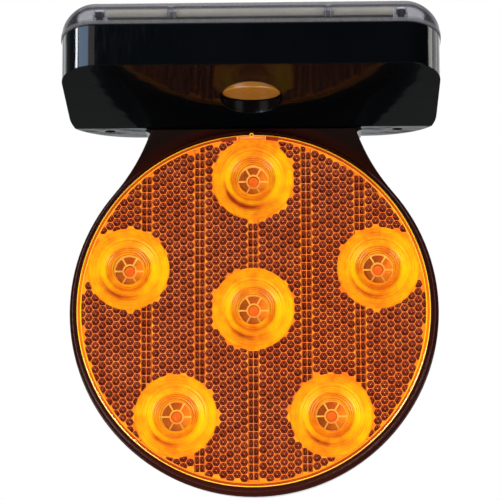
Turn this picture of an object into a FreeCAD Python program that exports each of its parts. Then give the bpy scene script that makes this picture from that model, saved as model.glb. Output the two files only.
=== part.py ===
import FreeCAD, Part
import math
import os

import Sketcher

# A one-sided solar barricade warning light: a round amber lens in a black two-part housing, a flared
# neck, and a wide head that overhangs the lens and carries the solar panel under a clear cover.
#
# Frame: millimetres, +Z up, +X to the right seen from the front, the lens faces -Y. The origin is the
# centre of the mounting nut on the flat back plane (y = 0). "Depth" is a distance forward of that plane.

Vector = FreeCAD.Vector

SIZES = {
    # round housing: the front ring (bezel) and the pan behind it
    "ring_radius": 92.75,
    "flange_depth": 24,
    "parting_depth": 21.5,
    "wall": 2.5,
    "back_edge": 3,
    "bezel_radius": 90.6,
    "bezel_depth": 31,
    "bezel_edge": 0.8,
    "opening_radius": 80,
    # lens
    "lens_radius": 88.4,
    "lens_clearance": 0.1,
    "lens_depth": 34,
    "lens_wall": 3,
    "lens_edge": 1.2,
    "lens_gasket_height": 1.2,
    # neck
    "neck_half": 52,
    "neck_top": 93.1,
    "neck_lip": 0.8,
    "neck_root": 3,
    "flare_radius": 100,
    "neck_gasket_height": 0.8,
    "neck_gasket_inset": 3,
    # head: side profile
    "head_half": 92.4,
    "head_depth": 86,
    "ridge_depth": 24,
    "front_low": 112.1,
    "seam_front": 133,
    "seam_back": 107.54,
    "seam_gap": 0.8,
    "front_corner": 17.5,
    "back_corner": 35,
    # the plain block each head piece is cut from, and how far its cutters run past it
    "block_low": 80,
    "block_high": 155,
    "block_margin": 10,
    # clear cover and solar panel
    "cover_height": 12.1,
    "cover_wall": 1.5,
    "cover_edge": 4.5,
    "cover_side_edge": 8.5,
    "rim_overhang": 0.5,
    "rim_height": 1.6,
    "panel_width": 139,
    "panel_length": 72,
    "panel_thickness": 3,
    "panel_drop": 0.7,
    "frame_height": 1.7,
    "frame_band": 6,
    "frame_leg_radius": 2.5,
    "frame_leg_half": 61,
    "frame_leg_front": 73.5,
    "frame_leg_back": 13,
    "rib_half": 38,
    "rib_radius": 2,
    "rib_depth": 81.8,
    "rib_low": 132.7,
    "rib_top": 142.6,
    "strip_thickness": 0.3,
    "strip_gap": 1.2,
    "strip_count": 10,
    "strip_border": 3,
    # mode button, in a round recess in the underside of the head
    "button_depth": 54,
    "recess_radius": 15.5,
    "recess_ceiling": 108,
    "ceiling_wall": 2,
    "button_radius": 14.5,
    "button_clearance": 0.05,
    "button_face": 104.6,
    "flange_radius": 16.2,
    "flange_height": 1.2,
    "seal_height": 0.8,
    "stem_radius": 2.5,
    "stem_height": 1,
    "plunger_radius": 1.75,
    "plunger_height": 2,
    "plunger_inset": 0.2,
    "plunger_tail": 0.8,
    "plunger_roof": 0.5,
    "plunger_clearance": 0.05,
    "switch_width": 6,
    "switch_height": 3.5,
    "recess_wall": 2,
    "recess_boss_low": 99.5,
    "button_edge": 0.8,
    "seal_gap": 0.3,
    "flange_gap": 0.6,
    "spring_radius": 6.4,
    "spring_wire": 0.8,
    "spring_turns": 3.5,
    # control board
    "board_half": 31,
    "board_front": 72,
    "board_back": 38,
    "board_post_inset": 4,
    "board_post_radius": 3,
    "board_screw_radius": 1.25,
    "board_screw_head": 2.4,
    "board_screw_length": 6,
    "capacitor_radius": 2.5,
    "capacitor_height": 5,
    "capacitor_half": 14,
    "capacitor_depth": 66,
    "chip_width": 9,
    "chip_height": 1.6,
    "chip_depth": 62,
    "connector_width": 12,
    "connector_depth": 5,
    "connector_height": 4,
    "board_thickness": 1.6,
    # light board, LEDs, spoked holders and reflector
    "led_ring": 65.6,
    "led_radius": 2.5,
    "led_height": 7,
    "led_flange": 1,
    "led_rim": 0.4,
    "led_gap": 0.7,
    "light_board_radius": 74,
    "light_board_depth": 17,
    "reflector_radius": 79.5,
    "reflector_depth": 22.5,
    "reflector_thickness": 1.5,
    "post_ring": 60,
    "post_radius": 3.5,
    "holder_radius": 8.3,
    "holder_wall": 1,
    "holder_height": 4,
    "spoke_width": 0.8,
    "spoke_height": 1.2,
    "spoke_count": 6,
    # fasteners
    "nut_across_flats": 19,
    "nut_body": 11.1,
    "nut_flange_radius": 14,
    "nut_flange": 2.5,
    "nut_bore_radius": 5.4,
    "nut_boss_radius": 17.5,
    "nut_cap_wall": 1.3,
    "nut_cap_gap": 0.5,
    "nut_clearance": 0.05,
    "screw_radius": 1.5,
    "screw_head_radius": 2.9,
    "screw_head_height": 2,
    "screw_clearance": 0.05,
    "screw_ring": 84.2,
    "screw_pitch_angle": 52,
    "boss_split_depth": 10,
    "screw_hole_depth": 10,
    "screw_seat_depth": 6,
    "housing_screw_length": 13,
    "hole_gap": 0.2,
    "head_gap": 0.3,
    "front_boss_inset": 0.8,
    "reflector_screw_length": 14,
    "post_bore": 8,
    "moat_rim": 20,
    "moat_pad": 8,
    "moat_depth": 0.8,
    "neck_screw_half": 42,
    "neck_screw_height": 82,
    "collar_screw_half": 28,
    "collar_depth": 12,
    "collar_boss_length": 11,
    "collar_screw_length": 12,
    "wire_hole_radius": 6,
    "cover_screw_half": 73.4,
    "cover_screw_front": 76,
    "cover_screw_back": 17,
    "boss_radius": 4.4,
    "cover_boss_split": 127.8,
    "cover_boss_low": 109,
    "cover_boss_top": 140.8,
    "cover_boss_radius": 3.3,
    "cover_screw_head": 2.3,
    "cover_screw_seat": 138.6,
    "cover_screw_length": 18,
    "base_boss_split": 104,
    "base_boss_top": 122.6,
    "base_screw_seat": 99,
    "base_screw_length": 14,
    "base_screw_head": 2.6,
    "base_counterbore": 2.75,
    # batteries
    "cell_radius": 7.1,
    "cell_length": 48.5,
    "cell_button_radius": 2.7,
    "cell_button_length": 1.5,
    "tray_half": 27,
    "tray_depth": 32,
    "tray_wall": 1.5,
    "tray_side": 1,
    "tray_lift": 0.15,
    "cell_spacing": 0.2,
    "contact_width": 22,
    "contact_height": 7,
    "tray_height": 11,
    "tray_centre_x": 59.5,
    "tray_centre_depth": 52,
    "lead_radius": 0.7,
    "wiring_depth": 31,
}

doc = FreeCAD.newDocument("barricade_light")
dims = doc.addObject("Spreadsheet::Sheet", "Dims")
nodes = []


def fill_sheet():
    """Write every driving dimension to the sheet and give its cell the dimension's name."""
    for row, (alias, number) in enumerate(SIZES.items(), start=1):
        cell = "B{}".format(row)
        dims.set(cell, str(number))
        dims.setAlias(cell, alias)
    doc.recompute()


def value(expression):
    """The number that an expression over the sheet gives now."""
    return float(dims.evalExpression(str(expression)))


def bind(item, **expressions):
    """Bind properties of a document object to expressions over the sheet."""
    for name, expression in expressions.items():
        item.setExpression(name, str(expression))
    return item


def place(item, x=0, y=0, z=0, axis=None, angle=0):
    """Turn an object about an axis through its own origin, then move it to x, y, z."""
    if axis is not None:
        item.Placement = FreeCAD.Placement(Vector(), FreeCAD.Rotation(axis, value(angle)))
    for letter, expression in (("x", x), ("y", y), ("z", z)):
        item.setExpression("Placement.Base." + letter, str(expression))
    return item


def node(item, label):
    """Give a finished sub-part its label and list it for export."""
    item.Label = label
    nodes.append(item)
    return item


# ---------------------------------------------------------------- sketches and features


def new_body(name):
    return doc.addObject("PartDesign::Body", name)


def new_sketch(body, plane="XY_Plane", lift=0):
    """A sketch on one of the body's own origin planes, lifted along that plane's normal.
    XY: x, y, lift is z. XZ: x, z, lift is depth (-Y). YZ: y, z."""
    sketch = body.newObject("Sketcher::SketchObject", "Sketch")
    support = next(item for item in body.Origin.OriginFeatures if item.Role == plane)
    sketch.AttachmentSupport = [(support, "")]
    sketch.MapMode = "FlatFace"
    sketch.setExpression("AttachmentOffset.Base.z", str(lift))
    return sketch


def constrain(sketch, expression, *arguments):
    """Add a dimensional constraint whose value is an expression over the sheet."""
    index = sketch.addConstraint(Sketcher.Constraint(*arguments, value(expression)))
    sketch.setExpression("Constraints[{}]".format(index), str(expression))


def pin_point(sketch, geometry, point, x, y):
    """Hold a point of a sketch element at x, y from the sketch origin."""
    for kind, axis, expression in (("DistanceX", -2, x), ("DistanceY", -1, y)):
        if abs(value(expression)) < 1e-9:
            sketch.addConstraint(Sketcher.Constraint("PointOnObject", geometry, point, axis))
        else:
            constrain(sketch, expression, kind, -1, 1, geometry, point)


def draw_circle(sketch, radius, x=0, y=0):
    centre = Vector(value(x), value(y), 0)
    index = sketch.addGeometry(Part.Circle(centre, Vector(0, 0, 1), value(radius)), False)
    constrain(sketch, radius, "Radius", index)
    pin_point(sketch, index, 3, x, y)


def draw_polygon(sketch, corners):
    """A closed polygon with every corner held at its own x, y expressions."""
    points = [Vector(value(x), value(y), 0) for x, y in corners]
    lines = []
    for start, end in zip(points, points[1:] + points[:1]):
        lines.append(sketch.addGeometry(Part.LineSegment(start, end), False))
    for line, following in zip(lines, lines[1:] + lines[:1]):
        sketch.addConstraint(Sketcher.Constraint("Coincident", line, 2, following, 1))
    for line, (x, y) in zip(lines, corners):
        pin_point(sketch, line, 1, x, y)


def draw_rectangle(sketch, x1, y1, x2, y2):
    draw_polygon(sketch, [(x1, y1), (x2, y1), (x2, y2), (x1, y2)])


def solid_feature(body, kind, sketch, length, reverse=False, symmetric=False):
    feature = body.newObject("PartDesign::" + kind, kind)
    feature.Profile = sketch
    feature.setExpression("Length", str(length))
    feature.Reversed = reverse
    if symmetric:
        feature.SideType = "Symmetric"
    sketch.Visibility = False
    return feature


def pad(body, sketch, length, **options):
    return solid_feature(body, "Pad", sketch, length, **options)


def pocket(body, sketch, length, **options):
    """Cut a sketch out of a body and make sure that the cut took something away."""
    doc.recompute()
    before = body.Shape.Volume
    feature = solid_feature(body, "Pocket", sketch, length, **options)
    doc.recompute()
    if body.Shape.Volume >= before:
        raise RuntimeError("a pocket of {} removes nothing".format(body.Name))
    return feature


def drill(body, plane, lift, centres, radius, length, reverse=False):
    """One pocket of equal round holes."""
    sketch = new_sketch(body, plane, lift)
    for x, y in centres:
        draw_circle(sketch, radius, x, y)
    return pocket(body, sketch, length, reverse=reverse)


def raise_bosses(body, plane, lift, centres, radius, length, reverse=False):
    """One pad of equal round bosses."""
    sketch = new_sketch(body, plane, lift)
    for x, y in centres:
        draw_circle(sketch, radius, x, y)
    return pad(body, sketch, length, reverse=reverse)


def edges_where(shape, test):
    """Names of the edges whose every sampled point passes a test."""
    names = []
    for index, edge in enumerate(shape.Edges, start=1):
        if all(test(point) for point in edge.discretize(5)):
            names.append("Edge{}".format(index))
    return names


def round_edges(body, radius, test):
    """Fillet the edges of the body's last feature that pass a test."""
    doc.recompute()
    base = body.Tip
    fillet = body.newObject("PartDesign::Fillet", "Fillet")
    fillet.Base = (base, edges_where(base.Shape, test))
    fillet.setExpression("Radius", str(radius))
    doc.recompute()
    return fillet


def revolved(name, corners):
    """A body of revolution about the Y axis. Each corner is (depth, radius)."""
    body = new_body(name)
    sketch = new_sketch(body, "YZ_Plane")
    draw_polygon(sketch, [("-({})".format(depth), radius) for depth, radius in corners])
    feature = body.newObject("PartDesign::Revolution", "Revolution")
    feature.Profile = sketch
    feature.ReferenceAxis = (sketch, ["H_Axis"])
    feature.Angle = 360
    return body


def ring_of_points(radius, first, step, count):
    """Expressions for points spaced evenly round the origin, angles in degrees."""
    return [
        (
            "{} * cos({} + {} * {})".format(radius, first, index, step),
            "{} * sin({} + {} * {})".format(radius, first, index, step),
        )
        for index in range(count)
    ]


def pair(half, y):
    """Expressions for two points at the same y, right and left of the middle."""
    return [(half, y), ("-" + half, y)]


TIGHT_HOLE = "Dims.screw_radius + Dims.screw_clearance"
FREE_HOLE = "Dims.screw_radius + Dims.hole_gap"
HEAD_HOLE = "Dims.screw_head_radius + Dims.head_gap"
FLOOR = "(Dims.neck_top + Dims.neck_gasket_height)"
FLOOR_RISE = "((Dims.front_low - {}) / (Dims.head_depth - Dims.ridge_depth))".format(FLOOR)
WIRE_HOLE = ("0", "-Dims.collar_depth")
COLLAR_SCREWS = pair("Dims.collar_screw_half", "-Dims.collar_depth")
FRONT_SCREWS = pair("Dims.cover_screw_half", "-Dims.cover_screw_front")
BACK_SCREWS = pair("Dims.cover_screw_half", "-Dims.cover_screw_back")
BOARD_POST_HALF = "(Dims.board_half - Dims.board_post_inset)"
BOARD_SCREWS = pair(BOARD_POST_HALF, "-(Dims.board_front - Dims.board_post_inset)")
BOARD_SCREWS += pair(BOARD_POST_HALF, "-(Dims.board_back + Dims.board_post_inset)")
LED_PLACES = [("0", "0")] + ring_of_points("Dims.led_ring", 90, 72, 5)
POST_PLACES = ring_of_points("Dims.post_ring", 54, 72, 5)
HOUSING_SCREWS = ring_of_points(
    "Dims.screw_ring", "-90 - 2 * Dims.screw_pitch_angle", "Dims.screw_pitch_angle", 5
)
HOUSING_SCREWS += pair("Dims.neck_screw_half", "Dims.neck_screw_height")


# ---------------------------------------------------------------- round housing with its flared neck


def draw_outline(sketch, ring, flare, half, top):
    """The housing seen from the front: a ring that two concave arcs lead up into the neck.
    Each flare arc touches the ring and ends at the neck's half width, on the flat top."""
    ring_r, flare_r = value(ring), value(flare)
    end = Vector(value(half), value(top), 0)
    reach = ring_r + flare_r
    along = (end.Length ** 2 + reach ** 2 - flare_r ** 2) / (2 * end.Length)
    across = math.sqrt(reach ** 2 - along ** 2)
    unit = end / end.Length
    centre = unit * along + Vector(unit.y, -unit.x, 0) * across
    touch = centre * (ring_r / reach)
    up = Vector(0, 0, 1)
    low, high = math.pi - math.atan2(touch.y, touch.x), 2 * math.pi + math.atan2(touch.y, touch.x)
    ring_arc = sketch.addGeometry(Part.ArcOfCircle(Part.Circle(Vector(), up, ring_r), low, high), False)
    sketch.addConstraint(Sketcher.Constraint("Coincident", ring_arc, 3, -1, 1))
    constrain(sketch, ring, "Radius", ring_arc)
    tops = []
    for side in (-1, 1):
        middle = Vector(side * centre.x, centre.y, 0)
        angles = [
            math.atan2(point.y - middle.y, side * point.x - middle.x) % (2 * math.pi)
            for point in (touch, end)
        ]
        circle = Part.Circle(middle, up, flare_r)
        arc = sketch.addGeometry(Part.ArcOfCircle(circle, min(angles), max(angles)), False)
        at_touch, at_top = (2, 1) if angles[0] > angles[1] else (1, 2)
        ring_end = 2 if side > 0 else 1
        sketch.addConstraint(Sketcher.Constraint("Tangent", ring_arc, ring_end, arc, at_touch))
        constrain(sketch, flare, "Radius", arc)
        pin_point(sketch, arc, at_top, "{} * ({})".format(side, half), top)
        tops.append((arc, at_top))
    line = Part.LineSegment(sketch.getPoint(*tops[0]), sketch.getPoint(*tops[1]))
    across_top = sketch.addGeometry(line, False)
    sketch.addConstraint(Sketcher.Constraint("Coincident", across_top, 1, *tops[0]))
    sketch.addConstraint(Sketcher.Constraint("Coincident", across_top, 2, *tops[1]))


def outer_outline(body, lift):
    sketch = new_sketch(body, "XZ_Plane", lift)
    draw_outline(sketch, "Dims.ring_radius", "Dims.flare_radius", "Dims.neck_half", "Dims.neck_top")
    return sketch


def inner_outline(body, lift):
    sketch = new_sketch(body, "XZ_Plane", lift)
    draw_outline(
        sketch,
        "Dims.ring_radius - Dims.wall",
        "Dims.flare_radius + Dims.wall",
        "Dims.neck_half - Dims.wall",
        "Dims.neck_top - Dims.wall",
    )
    return sketch


def add_roots(body, lift, length):
    """The small flare where each side of the neck spreads out under the head: a quarter-round root
    below a thin lip."""
    for side in (1, -1):
        sketch = new_sketch(body, "XZ_Plane", lift)
        outer = value("Dims.neck_half + Dims.neck_root")
        top, lip = value("Dims.neck_top"), value("Dims.neck_top - Dims.neck_lip")
        foot = lip - value("Dims.neck_root")
        inner, deep = value("Dims.neck_half"), value("Dims.neck_half - 1")
        first = 90 if side > 0 else 0
        circle = Part.Circle(Vector(side * outer, foot, 0), Vector(0, 0, 1), value("Dims.neck_root"))
        arc = Part.ArcOfCircle(circle, math.radians(first), math.radians(first + 90))
        bend = sketch.addGeometry(arc, False)
        at_lip, at_foot = (1, 2) if side > 0 else (2, 1)
        corners = [(outer, lip), (outer, top), (deep, top), (deep, foot), (inner, foot)]
        points = [Vector(side * x, y, 0) for x, y in corners]
        lines = [
            sketch.addGeometry(Part.LineSegment(start, end), False)
            for start, end in zip(points, points[1:])
        ]
        for line, following in zip(lines, lines[1:]):
            sketch.addConstraint(Sketcher.Constraint("Coincident", line, 2, following, 1))
        for index, kind in enumerate(("Vertical", "Horizontal", "Vertical", "Horizontal")):
            sketch.addConstraint(Sketcher.Constraint(kind, lines[index]))
        sketch.addConstraint(Sketcher.Constraint("Coincident", lines[0], 1, bend, at_lip))
        sketch.addConstraint(Sketcher.Constraint("Coincident", lines[-1], 2, bend, at_foot))
        constrain(sketch, "Dims.neck_root", "Radius", bend)
        half = "{} * (Dims.neck_half + Dims.neck_root)".format(side)
        pin_point(sketch, bend, 3, half, "Dims.neck_top - Dims.neck_lip - Dims.neck_root")
        sketch.addConstraint(Sketcher.Constraint("Vertical", bend, 3, bend, at_lip))
        sketch.addConstraint(Sketcher.Constraint("Horizontal", bend, 3, bend, at_foot))
        constrain(sketch, "{} * (Dims.neck_half - 1)".format(side), "DistanceX", -1, 1, lines[1], 2)
        constrain(sketch, "Dims.neck_top", "DistanceY", -1, 1, lines[1], 2)
        pad(body, sketch, length)


def rear_housing():
    """The pan: back wall, side wall, screw bosses, board posts and the boss of the mounting nut."""
    body = new_body("RearHousing")
    pad(body, outer_outline(body, 0), "Dims.parting_depth")
    round_edges(
        body,
        "Dims.back_edge",
        lambda point: abs(point.y) < 0.01 and point.z < value("Dims.neck_top") - 0.01,
    )
    add_roots(body, "Dims.back_edge", "Dims.parting_depth - Dims.back_edge")
    pocket(body, inner_outline(body, "Dims.parting_depth"), "Dims.parting_depth - Dims.wall")
    # bosses rise from the inside of the back wall
    height = "Dims.nut_body - Dims.wall"
    raise_bosses(body, "XZ_Plane", "Dims.wall", [(0, 0)], "Dims.nut_boss_radius", height)
    height = "Dims.boss_split_depth - Dims.wall"
    raise_bosses(body, "XZ_Plane", "Dims.wall", HOUSING_SCREWS, "Dims.boss_radius", height)
    raise_bosses(
        body, "XZ_Plane", "Dims.wall", POST_PLACES, "Dims.post_radius", "Dims.light_board_depth - Dims.wall"
    )
    roof = "Dims.neck_top - Dims.wall"
    length = "Dims.collar_boss_length"
    raise_bosses(body, "XY_Plane", roof, COLLAR_SCREWS, "Dims.boss_radius", length, reverse=True)
    # hexagonal seat of the nut, open at the back plane
    sketch = new_sketch(body, "XZ_Plane", 0)
    corner = "(Dims.nut_across_flats / 2 + Dims.nut_clearance) / cos(30)"
    draw_polygon(sketch, ring_of_points(corner, 0, 60, 6))
    pocket(body, sketch, "Dims.nut_body", reverse=True)
    # screw heads sit in counterbores that open at the back
    drill(body, "XZ_Plane", 0, HOUSING_SCREWS, HEAD_HOLE, "Dims.screw_seat_depth", reverse=True)
    drill(body, "XZ_Plane", 0, HOUSING_SCREWS, FREE_HOLE, "Dims.boss_split_depth + 1", reverse=True)
    drill(body, "XZ_Plane", "Dims.light_board_depth", POST_PLACES, TIGHT_HOLE, "Dims.post_bore")
    drill(body, "XY_Plane", "Dims.neck_top", COLLAR_SCREWS, TIGHT_HOLE, "Dims.collar_boss_length + 1")
    drill(body, "XY_Plane", "Dims.neck_top", [WIRE_HOLE], "Dims.wire_hole_radius", "Dims.wall + 1")
    # a shallow moat in the back face leaves a flat centre pad and a flat rim to bear on the barricade
    sketch = new_sketch(body, "XZ_Plane", 0)
    draw_circle(sketch, "Dims.ring_radius - Dims.moat_rim")
    draw_circle(sketch, "Dims.nut_boss_radius + Dims.moat_pad")
    pocket(body, sketch, "Dims.moat_depth", reverse=True)
    return node(body, "rear_housing")


def front_housing():
    """The front plate with the ring that carries the lens, and the screw bosses behind it."""
    body = new_body("FrontHousing")
    pad(body, outer_outline(body, "Dims.parting_depth"), "Dims.flange_depth - Dims.parting_depth")
    round_edges(
        body,
        "Dims.bezel_edge",
        lambda point: abs(point.y + value("Dims.flange_depth")) < 0.01
        and point.z < value("Dims.neck_top") - 0.01,
    )
    add_roots(body, "Dims.parting_depth", "Dims.flange_depth - Dims.bezel_edge - Dims.parting_depth")
    rise = "Dims.bezel_depth - Dims.flange_depth"
    raise_bosses(body, "XZ_Plane", "Dims.flange_depth", [(0, 0)], "Dims.bezel_radius", rise)
    round_edges(body, "Dims.bezel_edge", lambda point: abs(point.y + value("Dims.bezel_depth")) < 0.01)
    drill(body, "XZ_Plane", "Dims.bezel_depth", [(0, 0)], "Dims.lens_radius + Dims.lens_clearance", rise)
    drill(body, "XZ_Plane", "Dims.flange_depth", [(0, 0)], "Dims.opening_radius", "Dims.wall")
    raise_bosses(
        body,
        "XZ_Plane",
        "Dims.parting_depth",
        HOUSING_SCREWS,
        "Dims.boss_radius - Dims.front_boss_inset",
        "Dims.parting_depth - Dims.boss_split_depth",
        reverse=True,
    )
    depth = "Dims.screw_hole_depth"
    drill(body, "XZ_Plane", "Dims.boss_split_depth", HOUSING_SCREWS, TIGHT_HOLE, depth, reverse=True)
    return node(body, "front_housing")


# ---------------------------------------------------------------- head


def seam_height(y, above=0):
    """Height of the tilted seam between head and cover, as an expression at a given y."""
    slope = "(Dims.seam_front - Dims.seam_back) / Dims.head_depth"
    return "Dims.seam_back - ({}) * ({}) + ({})".format(y, slope, above)


def underside_height(y, above=0):
    """Height of the sloped underside, in front of the ridge."""
    return "{} - (({}) + Dims.ridge_depth) * {} + ({})".format(FLOOR, y, FLOOR_RISE, above)


def draw_plan(sketch, inset):
    """The head seen from above: small corners in front, large corners at the back."""
    half = "Dims.head_half - ({})".format(inset)
    front = "-(Dims.head_depth - ({}))".format(inset)
    back = "-({})".format(inset)
    small = "Dims.front_corner - ({})".format(inset)
    large = "Dims.back_corner - ({})".format(inset)
    corners = [(1, front, small), (1, back, large), (-1, back, large), (-1, front, small)]
    arcs = []
    for quarter, (side, y, radius) in enumerate(corners):
        toward = 1 if y == front else -1
        x, r = value(half) - value(radius), value(radius)
        centre = Vector(side * x, value(y) + toward * r, 0)
        start = (quarter - 1) * math.pi / 2
        arc = Part.ArcOfCircle(Part.Circle(centre, Vector(0, 0, 1), r), start, start + math.pi / 2)
        index = sketch.addGeometry(arc, False)
        constrain(sketch, radius, "Radius", index)
        arcs.append(index)
    for quarter, index in enumerate(arcs):
        following = arcs[(quarter + 1) % 4]
        start, end = sketch.getPoint(index, 2), sketch.getPoint(following, 1)
        line = sketch.addGeometry(Part.LineSegment(start, end), False)
        sketch.addConstraint(Sketcher.Constraint("Tangent", index, 2, line, 1))
        sketch.addConstraint(Sketcher.Constraint("Tangent", line, 2, following, 1))
        if quarter == 0:
            constrain(sketch, half, "DistanceX", -1, 1, line, 1)
        if quarter == 1:
            constrain(sketch, back, "DistanceY", -1, 1, line, 1)
        if quarter == 2:
            constrain(sketch, "-({})".format(half), "DistanceX", -1, 1, line, 1)
        if quarter == 3:
            constrain(sketch, front, "DistanceY", -1, 1, line, 1)


def head_block(name, inset, lower, upper):
    """A block with the head's plan, cut off below the line `lower` and above the line `upper`.
    Both lines run from front to back as (y, z) expressions."""
    body = new_body(name)
    sketch = new_sketch(body, "XY_Plane", "Dims.block_low")
    draw_plan(sketch, inset)
    pad(body, sketch, "Dims.block_high - Dims.block_low")
    width = "2 * (Dims.head_half + Dims.block_margin)"
    limits = (
        (lower, "Dims.block_low - Dims.block_margin"),
        (upper, "Dims.block_high + Dims.block_margin"),
    )
    for line, limit in limits:
        if line:
            sketch = new_sketch(body, "YZ_Plane")
            draw_polygon(sketch, [(line[0][0], limit)] + line + [(line[-1][0], limit)])
            pocket(body, sketch, width, symmetric=True)
    return body


def seam_line(above):
    """A line parallel to the seam that runs past both ends of the head."""
    front, back = "-Dims.head_depth - Dims.block_margin", "Dims.block_margin"
    return [(front, seam_height(front, above)), (back, seam_height(back, above))]


def floor_line(above):
    """The underside as a bent line that runs past both ends of the head."""
    front, back = "-Dims.head_depth - Dims.block_margin", "Dims.block_margin"
    floor = "{} + ({})".format(FLOOR, above)
    return [(front, underside_height(front, above)), ("-Dims.ridge_depth", floor), (back, floor)]


def primitive(kind, x=0, y=0, z=0, axis=None, angle=0, **sizes):
    """A Part primitive with bound sizes, placed by its own origin."""
    item = doc.addObject("Part::" + kind, kind)
    bind(item, **sizes)
    return place(item, x, y, z, axis, angle)


def post(x, y, low, high, radius):
    """An upright cylinder between two heights."""
    return primitive("Cylinder", x=x, y=y, z=low, Radius=radius, Height="({}) - ({})".format(high, low))


def fuse(*items):
    joined = doc.addObject("Part::MultiFuse", "Fusion")
    joined.Shapes = list(items)
    return joined


def compound(items):
    """Several solids kept apart in one object."""
    group = doc.addObject("Part::Compound", "Group")
    group.Links = items
    return group


def cut(base, *tools):
    """Take one or more solids away from a base."""
    result = doc.addObject("Part::Cut", "Cut")
    result.Base = base
    result.Tool = tools[0] if len(tools) == 1 else fuse(*tools)
    return result


BUTTON_Y = "-Dims.button_depth"
CEILING_TOP = "(Dims.recess_ceiling + Dims.ceiling_wall)"
FLANGE_LOW = "({} + Dims.seal_height)".format(CEILING_TOP)
FLANGE_TOP = "({} + Dims.flange_height)".format(FLANGE_LOW)
STEM_TOP = "({} + Dims.stem_height)".format(FLANGE_TOP)
SWITCH_LOW = "({} + Dims.plunger_height - Dims.plunger_inset)".format(STEM_TOP)
SWITCH_TOP = "({} + Dims.switch_height)".format(SWITCH_LOW)
BOARD_TOP = "({} + Dims.board_thickness)".format(SWITCH_TOP)


def head_base():
    """The black tray of the head, with the button's recess, screw bosses and board posts."""
    outer = head_block("HeadOuter", "0", floor_line("0"), seam_line("-Dims.seam_gap"))
    inner = head_block("HeadInner", "Dims.wall", floor_line("Dims.wall"), seam_line("20"))
    shell = cut(outer, inner)
    ceiling = "Dims.recess_ceiling"
    cup = "Dims.recess_radius + Dims.recess_wall"
    bosses = [post("0", BUTTON_Y, "Dims.recess_boss_low", CEILING_TOP, cup)]
    for x, y in FRONT_SCREWS:
        bosses.append(post(x, y, "Dims.cover_boss_low", "Dims.cover_boss_split", "Dims.boss_radius"))
    for x, y in BACK_SCREWS:
        bosses.append(post(x, y, FLOOR, "Dims.base_boss_split", "Dims.boss_radius"))
    for x, y in BOARD_SCREWS:
        bosses.append(post(x, y, underside_height(y, 1), SWITCH_TOP, "Dims.board_post_radius"))
    whole = fuse(shell, *bosses)
    above = seam_height("-Dims.head_depth", 10)
    below = FLOOR + " - 5"
    tools = [
        post("0", BUTTON_Y, below, ceiling, "Dims.recess_radius"),
        post("0", BUTTON_Y, ceiling + " - 1", above, "Dims.button_radius + Dims.button_clearance"),
        post("0", BUTTON_Y, CEILING_TOP, above, "Dims.flange_radius + Dims.flange_gap"),
        post(*WIRE_HOLE, below, FLOOR + " + 5", "Dims.wire_hole_radius"),
    ]
    for x, y in FRONT_SCREWS:
        low = "Dims.cover_screw_seat - Dims.cover_screw_length - 2"
        tools.append(post(x, y, low, above, TIGHT_HOLE))
    for x, y in BACK_SCREWS:
        tools.append(post(x, y, below, "Dims.base_screw_seat", "Dims.base_counterbore"))
        tools.append(post(x, y, below, above, FREE_HOLE))
    for x, y in COLLAR_SCREWS:
        tools.append(post(x, y, below, FLOOR + " + 5", FREE_HOLE))
    for x, y in BOARD_SCREWS:
        low = SWITCH_TOP + " - Dims.board_screw_length"
        tools.append(post(x, y, low, above, "Dims.board_screw_radius + Dims.screw_clearance"))
    # nothing may stand below the underside
    trim = head_block("HeadBelow", "-1", None, floor_line("0"))
    return node(cut(whole, trim, *tools), "head_base")


def soften_top(block, inset):
    """Round the top edges of a cover block: small at the front and back, large along the sides, and
    changing from one to the other round the corners."""
    doc.recompute()
    height = "Dims.cover_height - ({})".format(inset)
    front, back = value("-Dims.head_depth + ({})".format(inset)), value("-({})".format(inset))
    small = value("Dims.cover_edge - ({})".format(inset))
    large = value("Dims.cover_side_edge - ({})".format(inset))

    def on_top(point):
        return abs(point.z - value(seam_height(point.y, height))) < 0.05

    def radius_at(point):
        at_end = min(abs(point.y - front), abs(point.y - back)) < 0.05
        return small if at_end else large

    edges = []
    for index, edge in enumerate(block.Shape.Edges, start=1):
        if all(on_top(point) for point in edge.discretize(5)):
            ends = [radius_at(edge.valueAt(t)) for t in (edge.FirstParameter, edge.LastParameter)]
            edges.append((index, ends[0], ends[1]))
    softened = doc.addObject("Part::Fillet", "SoftTop")
    softened.Base = block
    softened.Edges = edges
    return softened


def solar_cover():
    """The clear cover: a tilted lid with a small rim, screw bosses and two locating ribs."""
    outer = head_block("CoverOuter", "0", seam_line("0"), seam_line("Dims.cover_height"))
    outer = soften_top(outer, "0")
    rim = head_block("CoverRim", "-Dims.rim_overhang", seam_line("0"), seam_line("Dims.rim_height"))
    inner = head_block(
        "CoverInner", "Dims.cover_wall", seam_line("-10"), seam_line("Dims.cover_height - Dims.cover_wall")
    )
    hollow = cut(fuse(outer, rim), soften_top(inner, "Dims.cover_wall"))
    parts = [hollow]
    for x, y in FRONT_SCREWS:
        parts.append(post(x, y, "Dims.cover_boss_split", "Dims.cover_boss_top", "Dims.cover_boss_radius"))
    for x, y in BACK_SCREWS:
        parts.append(post(x, y, "Dims.base_boss_split", "Dims.base_boss_top", "Dims.cover_boss_radius"))
    for x, y in pair("Dims.rib_half", "-Dims.rib_depth"):
        parts.append(post(x, y, "Dims.rib_low", "Dims.rib_top", "Dims.rib_radius"))
    above = seam_height("-Dims.head_depth", 20)
    tools = []
    for x, y in FRONT_SCREWS:
        tools.append(post(x, y, "Dims.cover_screw_seat", above, "Dims.cover_screw_head + Dims.head_gap"))
        tools.append(post(x, y, "Dims.cover_boss_split - 1", above, FREE_HOLE))
    for x, y in BACK_SCREWS:
        high = "Dims.base_screw_seat + Dims.base_screw_length + 1"
        tools.append(post(x, y, "Dims.base_boss_split - 1", high, TIGHT_HOLE))
    return node(cut(fuse(*parts), *tools), "solar_cover")


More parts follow.
